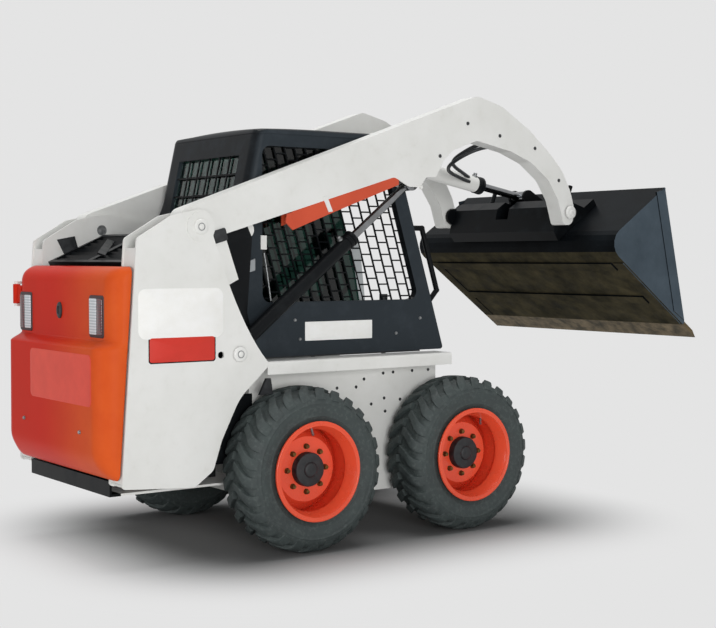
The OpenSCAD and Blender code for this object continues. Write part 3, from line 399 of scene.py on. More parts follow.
def scuffed_bucket_steel():
    """Dark blue-black paint scoured by soil, drawn paler on the end plates as painted light, with scratches
    drawn out along the floor and brown earth on faces that look down."""
    material, tree, here = new_finish("scuffed_bucket_steel")
    stretched = add(tree, "Mapping", {"Vector": here, "Scale": (1.0, 7.0, 1.0)})[0]
    scratch = patches(tree, stretched, 26, 0.62, 0.74, 6.0, 0.75)
    patch = patches(tree, here, 210, 0.35, 0.75)
    facing = add(tree, "SeparateXYZ", {0: add(tree, "TexCoord")["Normal"]})
    sideways = add(tree, "Math", {0: facing[1]}, **UNSIGNED)[0]
    reach = add(tree, "Math", {0: add(tree, "SeparateXYZ", {0: here})[1]}, **UNSIGNED)[0]
    at_end = add(tree, "MapRange", {0: reach, 1: 0.76, 2: 0.775})[0]
    sides = add(tree, "MapRange", {0: sideways, 1: 0.5, 2: 0.9, 4: at_end})[0]
    # Painted light: the end plates' sideways faces are drawn in a paler slate than the rest of the same
    # paint
    inner = add(tree, "Mix", {0: patch, 6: "#0a0c0e", 7: "#13171a"}, **RGBA)[2]
    outer = add(tree, "Mix", {0: patch, 6: "#3e4850", 7: "#4d5861"}, **RGBA)[2]
    paint = add(tree, "Mix", {0: sides, 6: inner, 7: outer}, **RGBA)[2]
    scratched = filmed(tree, scratch, 0.3, paint, "#6d757d")
    under = add(tree, "MapRange", {0: facing[2], 1: -0.35, 2: -0.72}, **EASED)[0]
    soil = add(tree, "Mix", {0: patches(tree, here, 130, 0.3, 0.7), 6: "#25231a", 7: "#4a4432"}, **RGBA)[2]
    cover = add(tree, "MapRange", {0: patches(tree, here, 75, 0.25, 0.6), 3: 0.55, 4: 1.0})[0]
    earth = add(tree, "Math", {0: under, 1: cover}, **TIMES)[0]
    surface(tree, {"Base Color": add(tree, "Mix", {0: earth, 6: scratched, 7: soil}, **RGBA)[2], "IOR": 1.5,
                   "Roughness": add(tree, "MapRange", {0: earth, 3: 0.38, 4: 0.85})[0],
                   "Specular IOR Level": 0.03, "Normal": grainy(tree, here, 12, 0.35, 6.0)})
    return material


def lamp_lens(name, colour, deep):
    """Moulded lens of clear or dyed acrylic: glossy, with prism ribs 6 mm apart behind its face."""
    material, tree, here = new_finish(name)
    ribs = add(tree, "TexWave", {"Vector": here, "Scale": per_metre(6) / (2 * math.pi), "Distortion": 0.0},
               bands_direction="Z", wave_profile="SIN")[1]
    surface(tree, {"Base Color": add(tree, "Mix", {0: ribs, 6: deep, 7: colour}, **RGBA)[2], "IOR": 1.49,
                   "Roughness": 0.2, "Coat Weight": 0.2, "Coat Roughness": 0.05,
                   "Normal": add(tree, "Bump", {"Height": ribs, "Strength": 1.0, "Distance": 0.3 * MM})[0]})
    return material


def seat_vinyl():
    """Embossed black vinyl over foam: leather grain about 4 mm across, worn smoother in the middle."""
    material, tree, here = new_finish("embossed_vinyl")
    cells = add(tree, "TexVoronoi", {"Vector": here, "Scale": per_metre(4.5)}, feature="DISTANCE_TO_EDGE")[0]
    grain = add(tree, "MapRange", {0: cells, 2: 0.2})[0]
    wear = patches(tree, here, 120, 0.4, 0.8)
    surface(tree, {"Base Color": add(tree, "Mix", {0: wear, 6: "#16181a", 7: "#2b2d2f"}, **RGBA)[2],
                   "IOR": 1.5,
                   "Roughness": add(tree, "MapRange", {0: wear, 3: 0.5, 4: 0.38})[0],
                   "Normal": add(tree, "Bump", {"Height": grain, "Strength": 1.0, "Distance": 0.4 * MM})[0]})
    return material


def tyre_rubber():
    """Weathered tyre rubber: grey-green bloom over carbon black, chalky with dust between the lugs."""
    material, tree, here = new_finish("weathered_tyre_rubber")
    bloom = patches(tree, here, 110, 0.3, 0.75)
    grit = patches(tree, here, 16, 0.5, 0.8, 6.0)
    rubber = add(tree, "Mix", {0: bloom, 6: "#2b3232", 7: "#394241"}, **RGBA)[2]
    surface(tree, {"Base Color": filmed(tree, grit, 0.35, rubber, "#68706d"), "IOR": 1.5,
                   "Roughness": add(tree, "MapRange", {0: bloom, 3: 0.62, 4: 0.8})[0],
                   "Normal": grainy(tree, here, 5, 0.25, 6.0)})
    return material


def hose_rubber():
    """Braided hydraulic hose: black rubber with a wrapped-cloth crosshatch 5 mm apart."""
    material, tree, here = new_finish("braided_hose_rubber")
    slanted = add(tree, "Mapping", {"Vector": here, "Rotation": (0.0, 0.8, 0.6)})[0]
    weave = add(tree, "TexWave", {"Vector": slanted, "Scale": per_metre(5) / (2 * math.pi)})[1]
    surface(tree, {"Base Color": add(tree, "Mix", {0: weave, 6: "#111314", 7: "#22262a"}, **RGBA)[2],
                   "IOR": 1.5, "Roughness": 0.55,
                   "Normal": add(tree, "Bump", {"Height": weave, "Strength": 1.0, "Distance": 0.3 * MM})[0]})
    return material


WHITE = enamel("white_enamel", "#e2e2df", "#dadad6", "#bfbcb2")
ORANGE = enamel("orange_enamel", "#ea5638", "#e04e32", "#b8694a", roughness=0.24)
# The support's orange, drawn darker than the rims' as painted shade under the arm
SHADED_ORANGE = enamel("shaded_support_enamel", "#cb4f31", "#bf472b", "#a4613f")
GREY = enamel("grey_enamel", "#9fa3a4", "#93979a", "#8c8b84")
GATE = tailgate_enamel()
BLACK = satin_black("satin_black_enamel")
# The cab's dust tone is lightened to stand also for a painted sheen in patches, and its side tone is a
# painted sheen on faces that look sideways
CAB = satin_black("cab_black_enamel_and_sheen", "#15181b", "#4b5259", 0.3, "#2d3338")
BARREL = satin_black("cylinder_enamel", "#121416", "#2e3234", 0.32)
BUCKET = scuffed_bucket_steel()
VINYL = seat_vinyl()
RUBBER = tyre_rubber()
HOSE = hose_rubber()
CLEAR_LENS = lamp_lens("clear_acrylic_lens", "#d0d3d6", "#a4aab0")
RED_LENS = lamp_lens("red_acrylic_lens", "#5c131d", "#3a0c14")
# Cutting edge of bare plate, tan with dried earth and bright where it scrapes
EDGE = coated("worn_edge_steel", ("#2f2b1d", "#6b5a3b"), (60, 0.3, 0.7, 6.0), (0.75, 0.5),
              grain=(9, 0.4, 6.0), Metallic=0.35)
# Zinc-plated pins and bolts, dull silver with a fine turned grain
STEEL = coated("zinc_plated_steel", ("#6f7173", "#a3a5a5"), (11, 0.3, 0.7, 5.0), (0.32, 0.55), Metallic=0.85)
# Wheel nuts in yellow passivated zinc, darkened by grease in patches
YELLOW_ZINC = coated("yellow_zinc_steel", ("#7d5a2a", "#2e2114"), (14, 0.35, 0.7, 5.0), (0.35, 0.6),
                     Metallic=0.7)
# Ground and chromed rods, clear mirrors with a film of oil that clouds them in patches
CHROME = coated("hard_chrome", ("#8d8f92", "#6f6e6b"), (70, 0.4, 0.8), (0.1, 0.3), Metallic=1.0)
# Cast iron with sand-cast pimples under a dull black coat, dusty on top
CASTING = coated("painted_casting", ("#181b1d", "#45494a"), (50, 0.45, 0.85), (0.6, 0.6), 0.5, (6, 0.4, 5.0),
                 IOR=1.5)
# Moulded plastic with a fine spark-eroded grain, drawn at 3 mm so that it shows
PLASTIC, MAROON = (coated(name, (colour, "#565a5b"), (30, 0.4, 0.85), (0.5, 0.7), 0.3, (3, 0.06, 2.0),
                          IOR=1.46)
                   for name, colour in (("moulded_black_plastic", "#15171a"),
                                        ("maroon_bezel_plastic", "#2c1014")))
# Tinted safety glass, clear and sharp, green in the pane, with a faint film of dust
GLASS, REAR_GLASS = (coated(name, tones, (160, 0.35, 0.85), (0.02, 0.12), Transmission_Weight=1.0, IOR=1.45)
                     for name, tones in (("green_safety_glass", ("#12241f", "#1f3b33")),
                                         ("pale_safety_glass", ("#9cc6bd", "#b0d2ca"))))
# Printed vinyl film stuck on paint, smooth and even, yellowing a little in patches
WHITE_FILM, RED_FILM, GATE_FILM = (coated(name, tones, (90, 0.35, 0.8), (0.38, 0.38), grain=(14, 0.03, 1.0),
                                          IOR=1.5, Specular_IOR_Level=0.2)
                                   for name, tones in (("white_vinyl_film", ("#f2f2f0", "#e9e8e3")),
                                                       ("red_vinyl_film", ("#cf3a30", "#c4382c")),
                                                       ("gate_vinyl_film", ("#dc4632", "#d03e2c"))))

# Finishes of each slot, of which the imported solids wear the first
SLOTS = {"body_paint": (WHITE, WHITE_FILM, GREY),
         "orange_paint": (ORANGE, GATE, SHADED_ORANGE, RED_FILM, GATE_FILM),
         "black_paint": (BLACK, CAB), "barrel_paint": (BARREL,), "bucket_paint": (BUCKET,),
         "worn_steel": (EDGE,), "bare_steel": (STEEL, YELLOW_ZINC), "chrome_rod": (CHROME,),
         "cast_block": (CASTING,), "black_plastic": (PLASTIC, MAROON, HOSE, CLEAR_LENS, RED_LENS),
         "tinted_glass": (GLASS, REAR_GLASS), "seat_vinyl": (VINYL,), "tyre_rubber": (RUBBER,)}
for subpart in frame["record"]["subparts"]:
    coats = nodes[subpart["node"]].data.materials
    coats.clear()
    coats.append(SLOTS[subpart["material_slot"]][0])
# The arm support takes the darker orange of painted shade
for node, finish in (("arm_support", SHADED_ORANGE), ("tilt_barrel", WHITE), ("rear_window", REAR_GLASS)):
    nodes[node].data.materials[0] = finish

# Driving sizes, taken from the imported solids
TYRE_LOW, TYRE_HIGH = box_mm("tyre_rear_right")
TYRE_R = (TYRE_HIGH[2] - TYRE_LOW[2]) / 2
TYRE_HALF = (TYRE_HIGH[1] - TYRE_LOW[1]) / 2
WHEEL_X, WHEEL_Y = box_mm("tyre_front_left").mean(0)[:2]
RIM_LOW, RIM_HIGH = box_mm("rim_front_left")
TOWER_PLATE = 5
TOWER_OUT = box_mm("upright_left")[1][1] - TOWER_PLATE
ARM_OUT = box_mm("arm_left")[1][1]
CAB_HALF = box_mm("cab_frame")[1][1]
GATE_REAR = box_mm("tailgate")[0][0]
GATE_FOOT, GATE_TOP = box_mm("tailgate")[:, 2]
LAMP_LOW, LAMP_HIGH = box_mm("front_lamps")
HEAD_OUT = -box_mm("quick_attach")[0][1]
PIN_OUT = box_mm("pivot_pins")[1][1]


def wheel_middle(wheel):
    """Middle of a wheel, and the side that faces outwards."""
    x = WHEEL_X if "front" in wheel else -WHEEL_X
    side = 1 if "left" in wheel else -1
    return np.array([x, side * WHEEL_Y, TYRE_R]), side


# Tyres
LUGS = 26
LUG_RISE = 20.0
LUG_ROOT = 4.0
LUG_SWEEP = math.radians(11)
BEAD_R = 210.0
WALL_HALF = TYRE_HALF - 6
# Moulded ridges on the side wall, as (radius, height, width)
RIDGES = ((BEAD_R + 34, 2.2, 3.5), (300, 2.6, 4.0))


def carcass_line(n):
    """The tyre's outer line from the tread's middle to the bead: a nearly flat crown, a round shoulder and a
    bulging side wall, as a curve through a few points of (radius, offset)."""
    crown = TYRE_R - LUG_RISE
    points = [(crown, 0), (crown - 2, WALL_HALF * 0.45), (crown - 9, WALL_HALF * 0.78),
              (crown - 30, WALL_HALF * 0.96), (crown - 62, WALL_HALF), (BEAD_R + 62, WALL_HALF * 0.99),
              (BEAD_R + 30, WALL_HALF * 0.93), (BEAD_R + 12, WALL_HALF * 0.86), (BEAD_R, WALL_HALF * 0.84)]
    line = curve_through(points, 12)
    reach = np.concatenate([[0], np.cumsum(np.linalg.norm(np.diff(line, axis=0), axis=1))])
    s = np.linspace(0, reach[-1], n)
    return np.stack([np.interp(s, reach, line[:, k]) for k in (0, 1)], -1), s


def lug_grid(middle, side, half):
    """Chevron lugs of one half of the tread. A lug's length runs along the carcass line from near the middle
    to the side wall, and its width runs round the tyre. Each point stands off the carcass by a rise that
    tapers down the wall, and its angle leads with the length, which slants the lug."""
    line, s = carcass_line(160)
    normal = unit(np.gradient(line, axis=0))[:, ::-1] * np.array([1, -1])
    normal[:, 0] = np.abs(normal[:, 0])
    shoulder = 0.9 * WALL_HALF
    length = np.array([0.0, 0.0, 0.02, 0.12, 0.3, 0.45, 0.55, 0.66, 0.76, 0.86, 0.94, 0.985, 1.0, 1.0])
    at = 7 + length * (shoulder + 12)
    p = np.stack([np.interp(at, s, line[:, k]) for k in (0, 1)], -1)
    out = unit(np.stack([np.interp(at, s, normal[:, k]) for k in (0, 1)], -1))
    rise = LUG_RISE * (1 - 0.85 * smoothstep((length - 0.52) / 0.46))
    rise[[0, -1]] = -LUG_ROOT
    width = 17 + 7 * smoothstep((length - 0.15) / 0.5)
    across = np.array([-1.22, -1.04, -0.9, -0.3, 0.3, 0.9, 1.04, 1.22])
    root = -LUG_ROOT / LUG_RISE
    lift = np.array([root, 0.9, 1.0, 1.0, 1.0, 1.0, 0.9, root])
    stand = np.where(rise[:, None] < 0, rise[:, None], rise[:, None] * lift)
    radius = p[:, :1] + out[:, :1] * stand
    offset = half * (p[:, 1:] + out[:, 1:] * stand)
    lead = LUG_SWEEP * smoothstep(at / (shoulder * 1.05))[:, None]
    turns = circle(LUGS, (half > 0) * math.pi / LUGS)[:, None, None]
    angle = turns + lead + width[:, None] * across / TYRE_R
    x, z = radius * np.cos(angle), radius * np.sin(angle)
    return middle + np.stack([x, np.broadcast_to(side * offset, x.shape), z], -1)


def make_tyre(wheel):
    """Carcass turned about the axle with moulded ridges on the side wall, and two rows of lugs joined to
    it."""
    middle, side = wheel_middle(wheel)
    line = carcass_line(48)[0]
    line[:, 1] += sum(height * bell(line[:, 0] - radius, width) for radius, height, width in RIDGES)
    whole = np.concatenate([line[::-1], line[1:] * np.array([1, -1])])
    inner = np.stack([np.full(2, BEAD_R - 2), np.array([-1, 1]) * whole[0, 1]], -1)
    carcass = lathe(np.concatenate([whole, inner, whole[:1]]), middle, (0, side, 0), 144)
    lugs = [capped(lug_grid(middle, side, half)) for half in (1, -1)]
    obj = piece("tyre_" + wheel + "_moulded", carcass, "wheel_" + wheel, RUBBER)
    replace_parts(obj, "tyre_" + wheel)
    piece("lugs_" + wheel, lugs, "wheel_" + wheel, RUBBER, smooth=35)


# Wheels: hub cover, nuts, valve and rolled lip
RIM_FACE = RIM_HIGH[1] - WHEEL_Y
RIM_R = (RIM_HIGH[2] - RIM_LOW[2]) / 2
DISC_FACE = RIM_FACE - 104
HUB_FACE = DISC_FACE + 34
NUTS = 8
NUT_CIRCLE = 101.5
LIP_R = 5.5
# Sections as (radius, offset) from the hub's face and from the rim's face
COVER = [(0, 13), (20, 13), (29, 11.5), (33, 8), (35, 3.5), (39, 2.5), (66, 2.5), (73, 0), (76, -6),
         (76.5, -33.5), (67, -33.5)]
WELL = [(203, -2), (200.5, -6), (197, -16), (188, -38), (184, -50), (182, -58), (182.5, -63), (189, -69),
        (191, -84), (192, -120), (197, -160)]
VALVE = [(192, -66), (182, -60), (168, -54), (156, -46)]


def dress_wheel(wheel):
    """Hub cover with a raised knob, eight nuts, a valve bent out of the barrel, the stepped bead seat and
    well, and the flange's rolled lip."""
    middle, side = wheel_middle(wheel)
    body = "wheel_" + wheel
    axle = (0, side, 0)
    cover = np.array(COVER) + np.array([0, HUB_FACE])
    well = np.array(WELL) + np.array([0, RIM_FACE])
    lip = round_profile(LIP_R, 16) + np.array([RIM_R - 5, RIM_FACE - 4])
    piece("hub_cover_" + wheel, lathe(cover, middle, axle, 64), body, PLASTIC)
    piece("rim_well_" + wheel, lathe(well, middle, axle, 96), body, ORANGE)
    piece("lip_" + wheel, lathe(lip, middle, axle, 128), body, ORANGE, wrap_rows=True)
    spots = lathe([(NUT_CIRCLE, DISC_FACE)], middle, axle, NUTS)[0]
    piece("nuts_" + wheel, hex_heads(spots, axle, 19, 14, 3.0), body, YELLOW_ZINC, smooth=25)
    lean = math.radians(90 if "rear" in wheel else 62)
    radius, offset = (np.array(VALVE) + np.array([0, RIM_FACE])).T
    stem = middle + np.stack([radius * math.cos(lean), side * offset, radius * math.sin(lean)], -1)
    piece("valve_" + wheel, swept(curve_through(stem, 4), round_profile(6, 10), (0, 1, 0)), body, STEEL)


for wheel in WHEELS:
    make_tyre(wheel)
    dress_wheel(wheel)

# Tailgate
GATE_LEFT = 500.0
GATE_RIGHT = -529.0
GATE_HALF = (GATE_LEFT - GATE_RIGHT) / 2
GATE_MIDDLE = (GATE_LEFT + GATE_RIGHT) / 2
GATE_CORNER = 34.0
SIDE_ROLL, TOP_ROLL, FOOT_ROLL = 95.0, 72.0, 112.0
GATE_INSET = 60.0
GATE_STEP, STEP_RUN = 925.0, 42.0
FOOT_RUN, FOOT_DRAW = 130.0, 22.0
FRONT_AT_FOOT, FRONT_AT_TOP = GATE_REAR + 84, GATE_REAR + 147
UP = (0, 0, 1)
RIGHT = (0, -1, 0)
FORWARD = (1, 0, 0)


def gate_back(z):
    """Rear line of the gate: flush above the step, standing out below it, and drawn in again towards the
    foot."""
    above = smoothstep((z - GATE_STEP) / STEP_RUN)
    foot = smoothstep((GATE_FOOT + FOOT_RUN - z) / FOOT_RUN)
    return GATE_REAR + GATE_INSET * above + FOOT_DRAW * foot


def gate_half(z):
    """Half width of the gate at a height: full, and drawn in by a quarter circle at its top and its foot."""
    near = np.clip(GATE_CORNER - np.minimum(GATE_TOP - z, z - GATE_FOOT), 0, GATE_CORNER)
    return GATE_HALF - GATE_CORNER + np.sqrt(GATE_CORNER ** 2 - near ** 2)


def quarter(inset, reach):
    """Quarter ellipse: 0 at the edge, 1 from the reach inwards."""
    return np.sqrt(1 - (1 - np.clip(inset / reach, 0, 1)) ** 2)


def gate_point(y, z, out=0.0):
    """A point on the gate's skin: the rear line, drawn forward near the outline to the edge's leaning
    straight line by the product of three quarter ellipses, of the distances to its sides, top and foot."""
    y, z = np.asarray(y, float), np.asarray(z, float)
    side = gate_half(z) - np.abs(y - GATE_MIDDLE)
    roll = quarter(side, SIDE_ROLL) * quarter(GATE_TOP - z, TOP_ROLL) * quarter(z - GATE_FOOT, FOOT_ROLL)
    front = np.interp(z, [GATE_FOOT, GATE_TOP], [FRONT_AT_FOOT, FRONT_AT_TOP])
    return np.stack([front + (gate_back(z) - front) * roll - out, y, z], -1)


def crowded(n):
    """Values from -1 to 1 that crowd at both ends: the sine of even angles."""
    return np.sin(np.linspace(-math.pi / 2, math.pi / 2, n))


def make_gate():
    """Skin of the gate on a grid that is finer near its edges and over its step."""
    z = GATE_FOOT + (GATE_TOP - GATE_FOOT) / 2 * (1 + crowded(81))
    over_step = np.linspace(GATE_STEP - 6, GATE_STEP + STEP_RUN + 6, 16)
    z = np.unique(np.round(np.concatenate([z, over_step]), 2))[:, None]
    z = np.clip(z, GATE_FOOT, GATE_TOP)
    y = GATE_MIDDLE + gate_half(z) * crowded(101)
    skin = piece("tailgate_skin", gate_point(y, z + 0 * y), "gate", GATE, wrap_columns=False, wall=7,
                 smooth=50)
    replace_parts(skin, "tailgate")


def gate_patch(name, low, high, corner, finish, out=0.8, rise=0.6, depth=3.0):
    """A thin plate with round corners laid on the gate's skin between two (y, z) corners."""
    low, high = np.array(low, float), np.array(high, float)
    outline = rounded_outline(*(high - low), corner, 8)
    rows = [(1.0, -depth), (1.0, out), (0.985, out + rise)]
    rows += [(s, out + rise) for s in np.linspace(0.95, 0, 16)]
    grid = [gate_point(*((low + high) / 2 + s * outline).T, o) for s, o in rows]
    piece(name, np.array(grid), "gate", finish)


make_gate()
gate_patch("gate_label", (-440, 690), (190, 905), 26, GATE_FILM)

# Hinge knuckles on the gate's left edge, its latch and its bolts
KNUCKLE_AT = (-1345.0, 513.0)
KNUCKLE = [(0, 0), (16, 0), (17, 1), (17, 89), (16, 90), (0, 90)]
LATCH_AT = (0.0, 1077.0)
LATCH = [(24, 0.0), (24, 5.0), (21, 8.0), (13, 8.5), (12, 4.0), (0, 4.0)]
GATE_BOLTS = ((262, 583), (-327, 577))
knuckles = [lathe(KNUCKLE, (*KNUCKLE_AT, z), UP) for z in (509, 1093)]
knuckles += [rounded_block((-1340, 484, z), RIGHT, UP, 66, 80, 8, 10, 2) for z in (554, 1138)]
piece("gate_knuckles", knuckles, "gate", GATE)
latch = lathe(LATCH, (0, 0, 0), (-1, 0, 0), 32) * np.array([1, 1, 1.5])
piece("gate_latch", latch + gate_point(*LATCH_AT), "gate", PLASTIC)
heads = hex_heads([gate_point(y, z) for y, z in GATE_BOLTS], (-1, 0, 0), 13, 6, 2)
piece("gate_bolts", heads, "gate", STEEL, smooth=25)

# Tail lamps: a bezel let into the gate, a clear lens inboard and a red lens outboard
TAIL_Z = 1061.0
TAIL_FACE = GATE_REAR + GATE_INSET - 5
bezels = [rounded_block((TAIL_FACE + 24, y, TAIL_Z), RIGHT, UP, 136, 178, 14, 24, 5) for y in (-372, 372)]
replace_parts(piece("tail_lamp_bezels", bezels, "gate", MAROON), "tail_lamps")
for side, tag in SIDES:
    for name, y, width, finish in (("clear", 346, 66, CLEAR_LENS), ("red", 409, 46, RED_LENS)):
        lens = rounded_block((TAIL_FACE + 1, side * y, TAIL_Z), RIGHT, UP, width, 152, 6, 5, 3)
        piece("tail_lens_%s_%s" % (name, tag), lens, "gate", finish)

# Front lamp lenses under the roof's edge
lens_z = (LAMP_LOW[2] + LAMP_HIGH[2]) / 2
lenses = [rounded_block((LAMP_HIGH[0] - 1, y, lens_z), (0, 1, 0), UP, 104, 38, 6, 6, 3) for y in (-270, 270)]
piece("front_lenses", lenses, "cab", CLEAR_LENS)

# Thin films with round corners on the right side: wall, two x, two z, corner and thickness
for name, wall, x, z, corner, thick, body, finish in (
        ("upright_label_white", TOWER_OUT, (-1248, -845), (968, 1178), 34, 1.2, "chassis", WHITE_FILM),
        ("upright_label_rim", TOWER_OUT, (-1202, -883), (865, 977), 13, 0.8, "chassis", BARREL),
        ("upright_label_red", TOWER_OUT, (-1197, -888), (870, 972), 11, 1.6, "chassis", RED_FILM),
        ("cab_label", CAB_HALF, (-331, 51), (925, 1012), 3, 1.2, "cab", WHITE_FILM)):
    middle = (sum(x) / 2, -wall, sum(z) / 2)
    film = rounded_block(middle, FORWARD, UP, x[1] - x[0], z[1] - z[0], corner, thick, 0.5)
    piece(name, film, body, finish)


def on_wall(spots, y):
    """Spots of (x, z) on a wall that faces the machine's right, as points."""
    return np.array([(x, -y, z) for x, z in spots], float)


# Bolts and low domed hole plugs on the right side
CAB_BOLTS = [(-386, 1022), (-359, 934), (195, 944), (342, 1013)]
ARM_SPOTS = [(367, 1793), (541, 1958), (749, 1909), (986, 1858), (1153, 1702)]
CASE_SPOTS = [(-166, 786), (-5, 733), (108, 756), (168, 758), (284, 760), (383, 760), (-161, 699),
              (-51, 698), (114, 636), (210, 625), (37, 612), (120, 573)]
CASE_OUT = 412.0
# Section of a plug of radius one, as (share of the radius, rise)
PLUG = np.array([(1.0, 0.0), (1.0, 1.6), (0.85, 2.6), (0.45, 3.2), (0.0, 3.4)])
piece("cab_bolts", hex_heads(on_wall(CAB_BOLTS, CAB_HALF), RIGHT, 11, 5, 1.5), "cab", STEEL, smooth=25)
piece("arm_pin_bolt", hex_heads(on_wall([(248, 1640)], ARM_OUT), RIGHT, 15, 8, 2), "boom", WHITE, smooth=25)
for name, spots, wall, radius, body in (("arm_plugs", ARM_SPOTS, ARM_OUT, 9, "boom"),
                                        ("case_plugs", CASE_SPOTS, CASE_OUT, 7.5, "chassis")):
    domes = [lathe(PLUG * np.array([radius, 1]), spot, RIGHT, 20) for spot in on_wall(spots, wall)]
    piece(name, domes, body, PLASTIC)

# Rubber stop under the right arm's heel
stop = rounded_block((-859, -ARM_OUT + 46, 1398), (0.96, 0, 0.28), (-0.28, 0, 0.96), 82, 56, 8, 58, 5)
piece("arm_stop", stop, "boom", PLASTIC)

# Seat: foam under vinyl, swollen by a short cloth run and then sewn
PAD_VOXEL = 7.0
PAD_SHRINK = 0.965
PAD_REACH = 12.0
PAD_PRESSURE = 4.0
CLOTH_FRAMES = 20
SEAM_INSET, SEAM_DEPTH, SEAM_WIDTH = 46, 2.5, 3.5
CHANNELS = (-96, -32, 32, 96)
CHANNEL_DEPTH, CHANNEL_WIDTH = 6.0, 7.0


def baked(obj):
    """The mesh that an object's modifiers give."""
    graph = bpy.context.evaluated_depsgraph_get()
    return bpy.data.meshes.new_from_object(obj.evaluated_get(graph))


def swollen(obj):
    """Points of a closed cover after twenty frames of cloth under air pressure and no gravity, with no point
    moved further than the reach."""
    start = point_array(obj.data)
    cloth = obj.modifiers.new("cover", "CLOTH")
    cloth.settings.use_pressure = True
    cloth.settings.uniform_pressure_force = PAD_PRESSURE
    cloth.settings.effector_weights.gravity = 0.0
    cloth.point_cache.frame_start = 1
    cloth.point_cache.frame_end = CLOTH_FRAMES
    for step in range(1, CLOTH_FRAMES + 1):
        bpy.context.scene.frame_set(step)
    moved = point_array(baked(obj)) - start
    obj.modifiers.remove(cloth)
    bpy.context.scene.frame_set(1)
    length = np.linalg.norm(moved, axis=1, keepdims=True)
    return start + moved * np.minimum(1, PAD_REACH * MM / np.maximum(length, 1e-9))


def seat_pad(node, facing):
    """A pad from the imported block, drawn in, remeshed, swollen, laid flat on what carries it, and then
    pressed in by sewn channels: each channel's depth is a bell curve of the distance to its line across the
    seat, and a ring seam follows the outline at an even inset."""
    low, high = node_box(node)
    middle = (low + high) / 2
    lies = facing[2] > 0.5
    mesh = nodes[node].data.copy()
    shut(merged(mesh, 0.05), mesh)
    points = middle + (point_array(mesh) - middle) * PAD_SHRINK
    mesh.vertices.foreach_set("co", points.ravel())
    obj = add_object(node + "_pad", mesh)
    even = obj.modifiers.new("even", "REMESH")
    even.mode = "VOXEL"
    even.voxel_size = PAD_VOXEL * MM
    obj.data = baked(obj)
    obj.modifiers.remove(even)
    points = swollen(obj)
    if lies:
        points[:, 2] = np.maximum(points[:, 2], low[2] + 0.3 * MM)
    obj.data.vertices.foreach_set("co", points.ravel())
    obj.data.update()
    normals = np.empty(len(points) * 3)
    obj.data.vertices.foreach_get("normal", normals)
    normals = normals.reshape(-1, 3)
    axes = [1, 0 if lies else 2]
    across, run = ((points - middle) / MM)[:, axes].T
    half = ((high - low) / 2 / MM)[axes]
    edge = np.minimum(half[0] - np.abs(across), half[1] - np.abs(run))
    front = smoothstep((normals @ np.array(facing) - 0.45) / 0.3)
    inside = smoothstep((edge - SEAM_INSET) / 6)
    depth = SEAM_DEPTH * bell(edge - SEAM_INSET, SEAM_WIDTH)
    for line in CHANNELS:
        depth = np.maximum(depth, CHANNEL_DEPTH * inside * bell(across - line, CHANNEL_WIDTH))
    points = points - normals * (front * depth * MM)[:, None]
    obj.data.vertices.foreach_set("co", points.ravel())
    smooth = obj.modifiers.new("smooth", "SUBSURF")
    smooth.levels = 1
    smooth.render_levels = 1
    dress(obj, "cab", VINYL, 180)
    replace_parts(obj, node)


seat_pad("seat_cushion", (0, 0, 1))
seat_pad("seat_back", (1, 0, 0.1))

# Hydraulic cylinders: pins in side view, then glands, ports and hoses
ARM_PIVOT = (-956.0, 1437.0)
LIFT_BASE = (-764.8, 889.3)
LIFT_PIN = (211.0, 1662.0)
TILT_BASE = (625.1, 1775.0)
TILT_PIN = (1374.1, 1637.9)
PORT_AT, PORT_BACK = 88, 62


def dress_cylinder(name, node, base, pin, y, radius, rod_radius, body, port_up):
    """Gland ring with a groove and a wiper lip at the rod's end, a weld collar near the base, and two port
    bosses. The barrel's end along its axis is found from the box of a cylinder that leans."""
    start = np.array([base[0], y, base[1]])
    way = unit(np.array([pin[0] - base[0], 0, pin[1] - base[1]]))
    end = (box_mm(node)[1][0] - base[0] - radius * abs(way[2])) / way[0]
    gland = [(radius + 0.3, -44), (radius + 4, -42), (radius + 4, -26), (radius + 1.5, -24),
             (radius + 1.5, -19), (radius + 5, -17), (radius + 5, -2), (radius + 3, 0.5),
             (rod_radius + 7, 1.5), (rod_radius + 2, 2.5), (rod_radius + 0.8, 2.5)]
    collar = [(radius + 0.3, 58), (radius + 3, 60), (radius + 3, 74), (radius + 0.3, 76)]
    boss = [(0, radius + 20), (8, radius + 20), (10, radius + 18), (10, radius + 8), (14, radius + 7),
            (14, radius - 4)]
    ports = [lathe(boss, start + t * way, port_up, 20) for t in (PORT_AT, end - PORT_BACK)]
    piece(name + "_gland", [lathe(gland, start + end * way, way), lathe(collar, start, way)], body, BARREL)
    piece(name + "_ports", ports, body, STEEL)


for side, tag in SIDES:
    dress_cylinder("lift_" + tag, "lift_barrel_" + tag, LIFT_BASE, LIFT_PIN, side * 475.0, 33, 19,
                   "lift_barrel_" + tag[0], (-0.62, 0, 0.78))
dress_cylinder("tilt", "tilt_barrel", TILT_BASE, TILT_PIN, 0.0, 42, 21, "tilt_barrel_body",
               (0.18, -0.3, 0.94))


def hose(name, points, radius, body_a, body_b=None, finish=HOSE):
    """A round line carried along a smooth curve through its points, fixed to its body; given a second body,
    it is fixed to neither."""
    line = swept(curve_through(points, 10), round_profile(radius, 14), (0.02, 0.03, 1))
    obj = piece(name, line, None if body_b else body_a, finish)
    if body_b:
        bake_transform(obj)


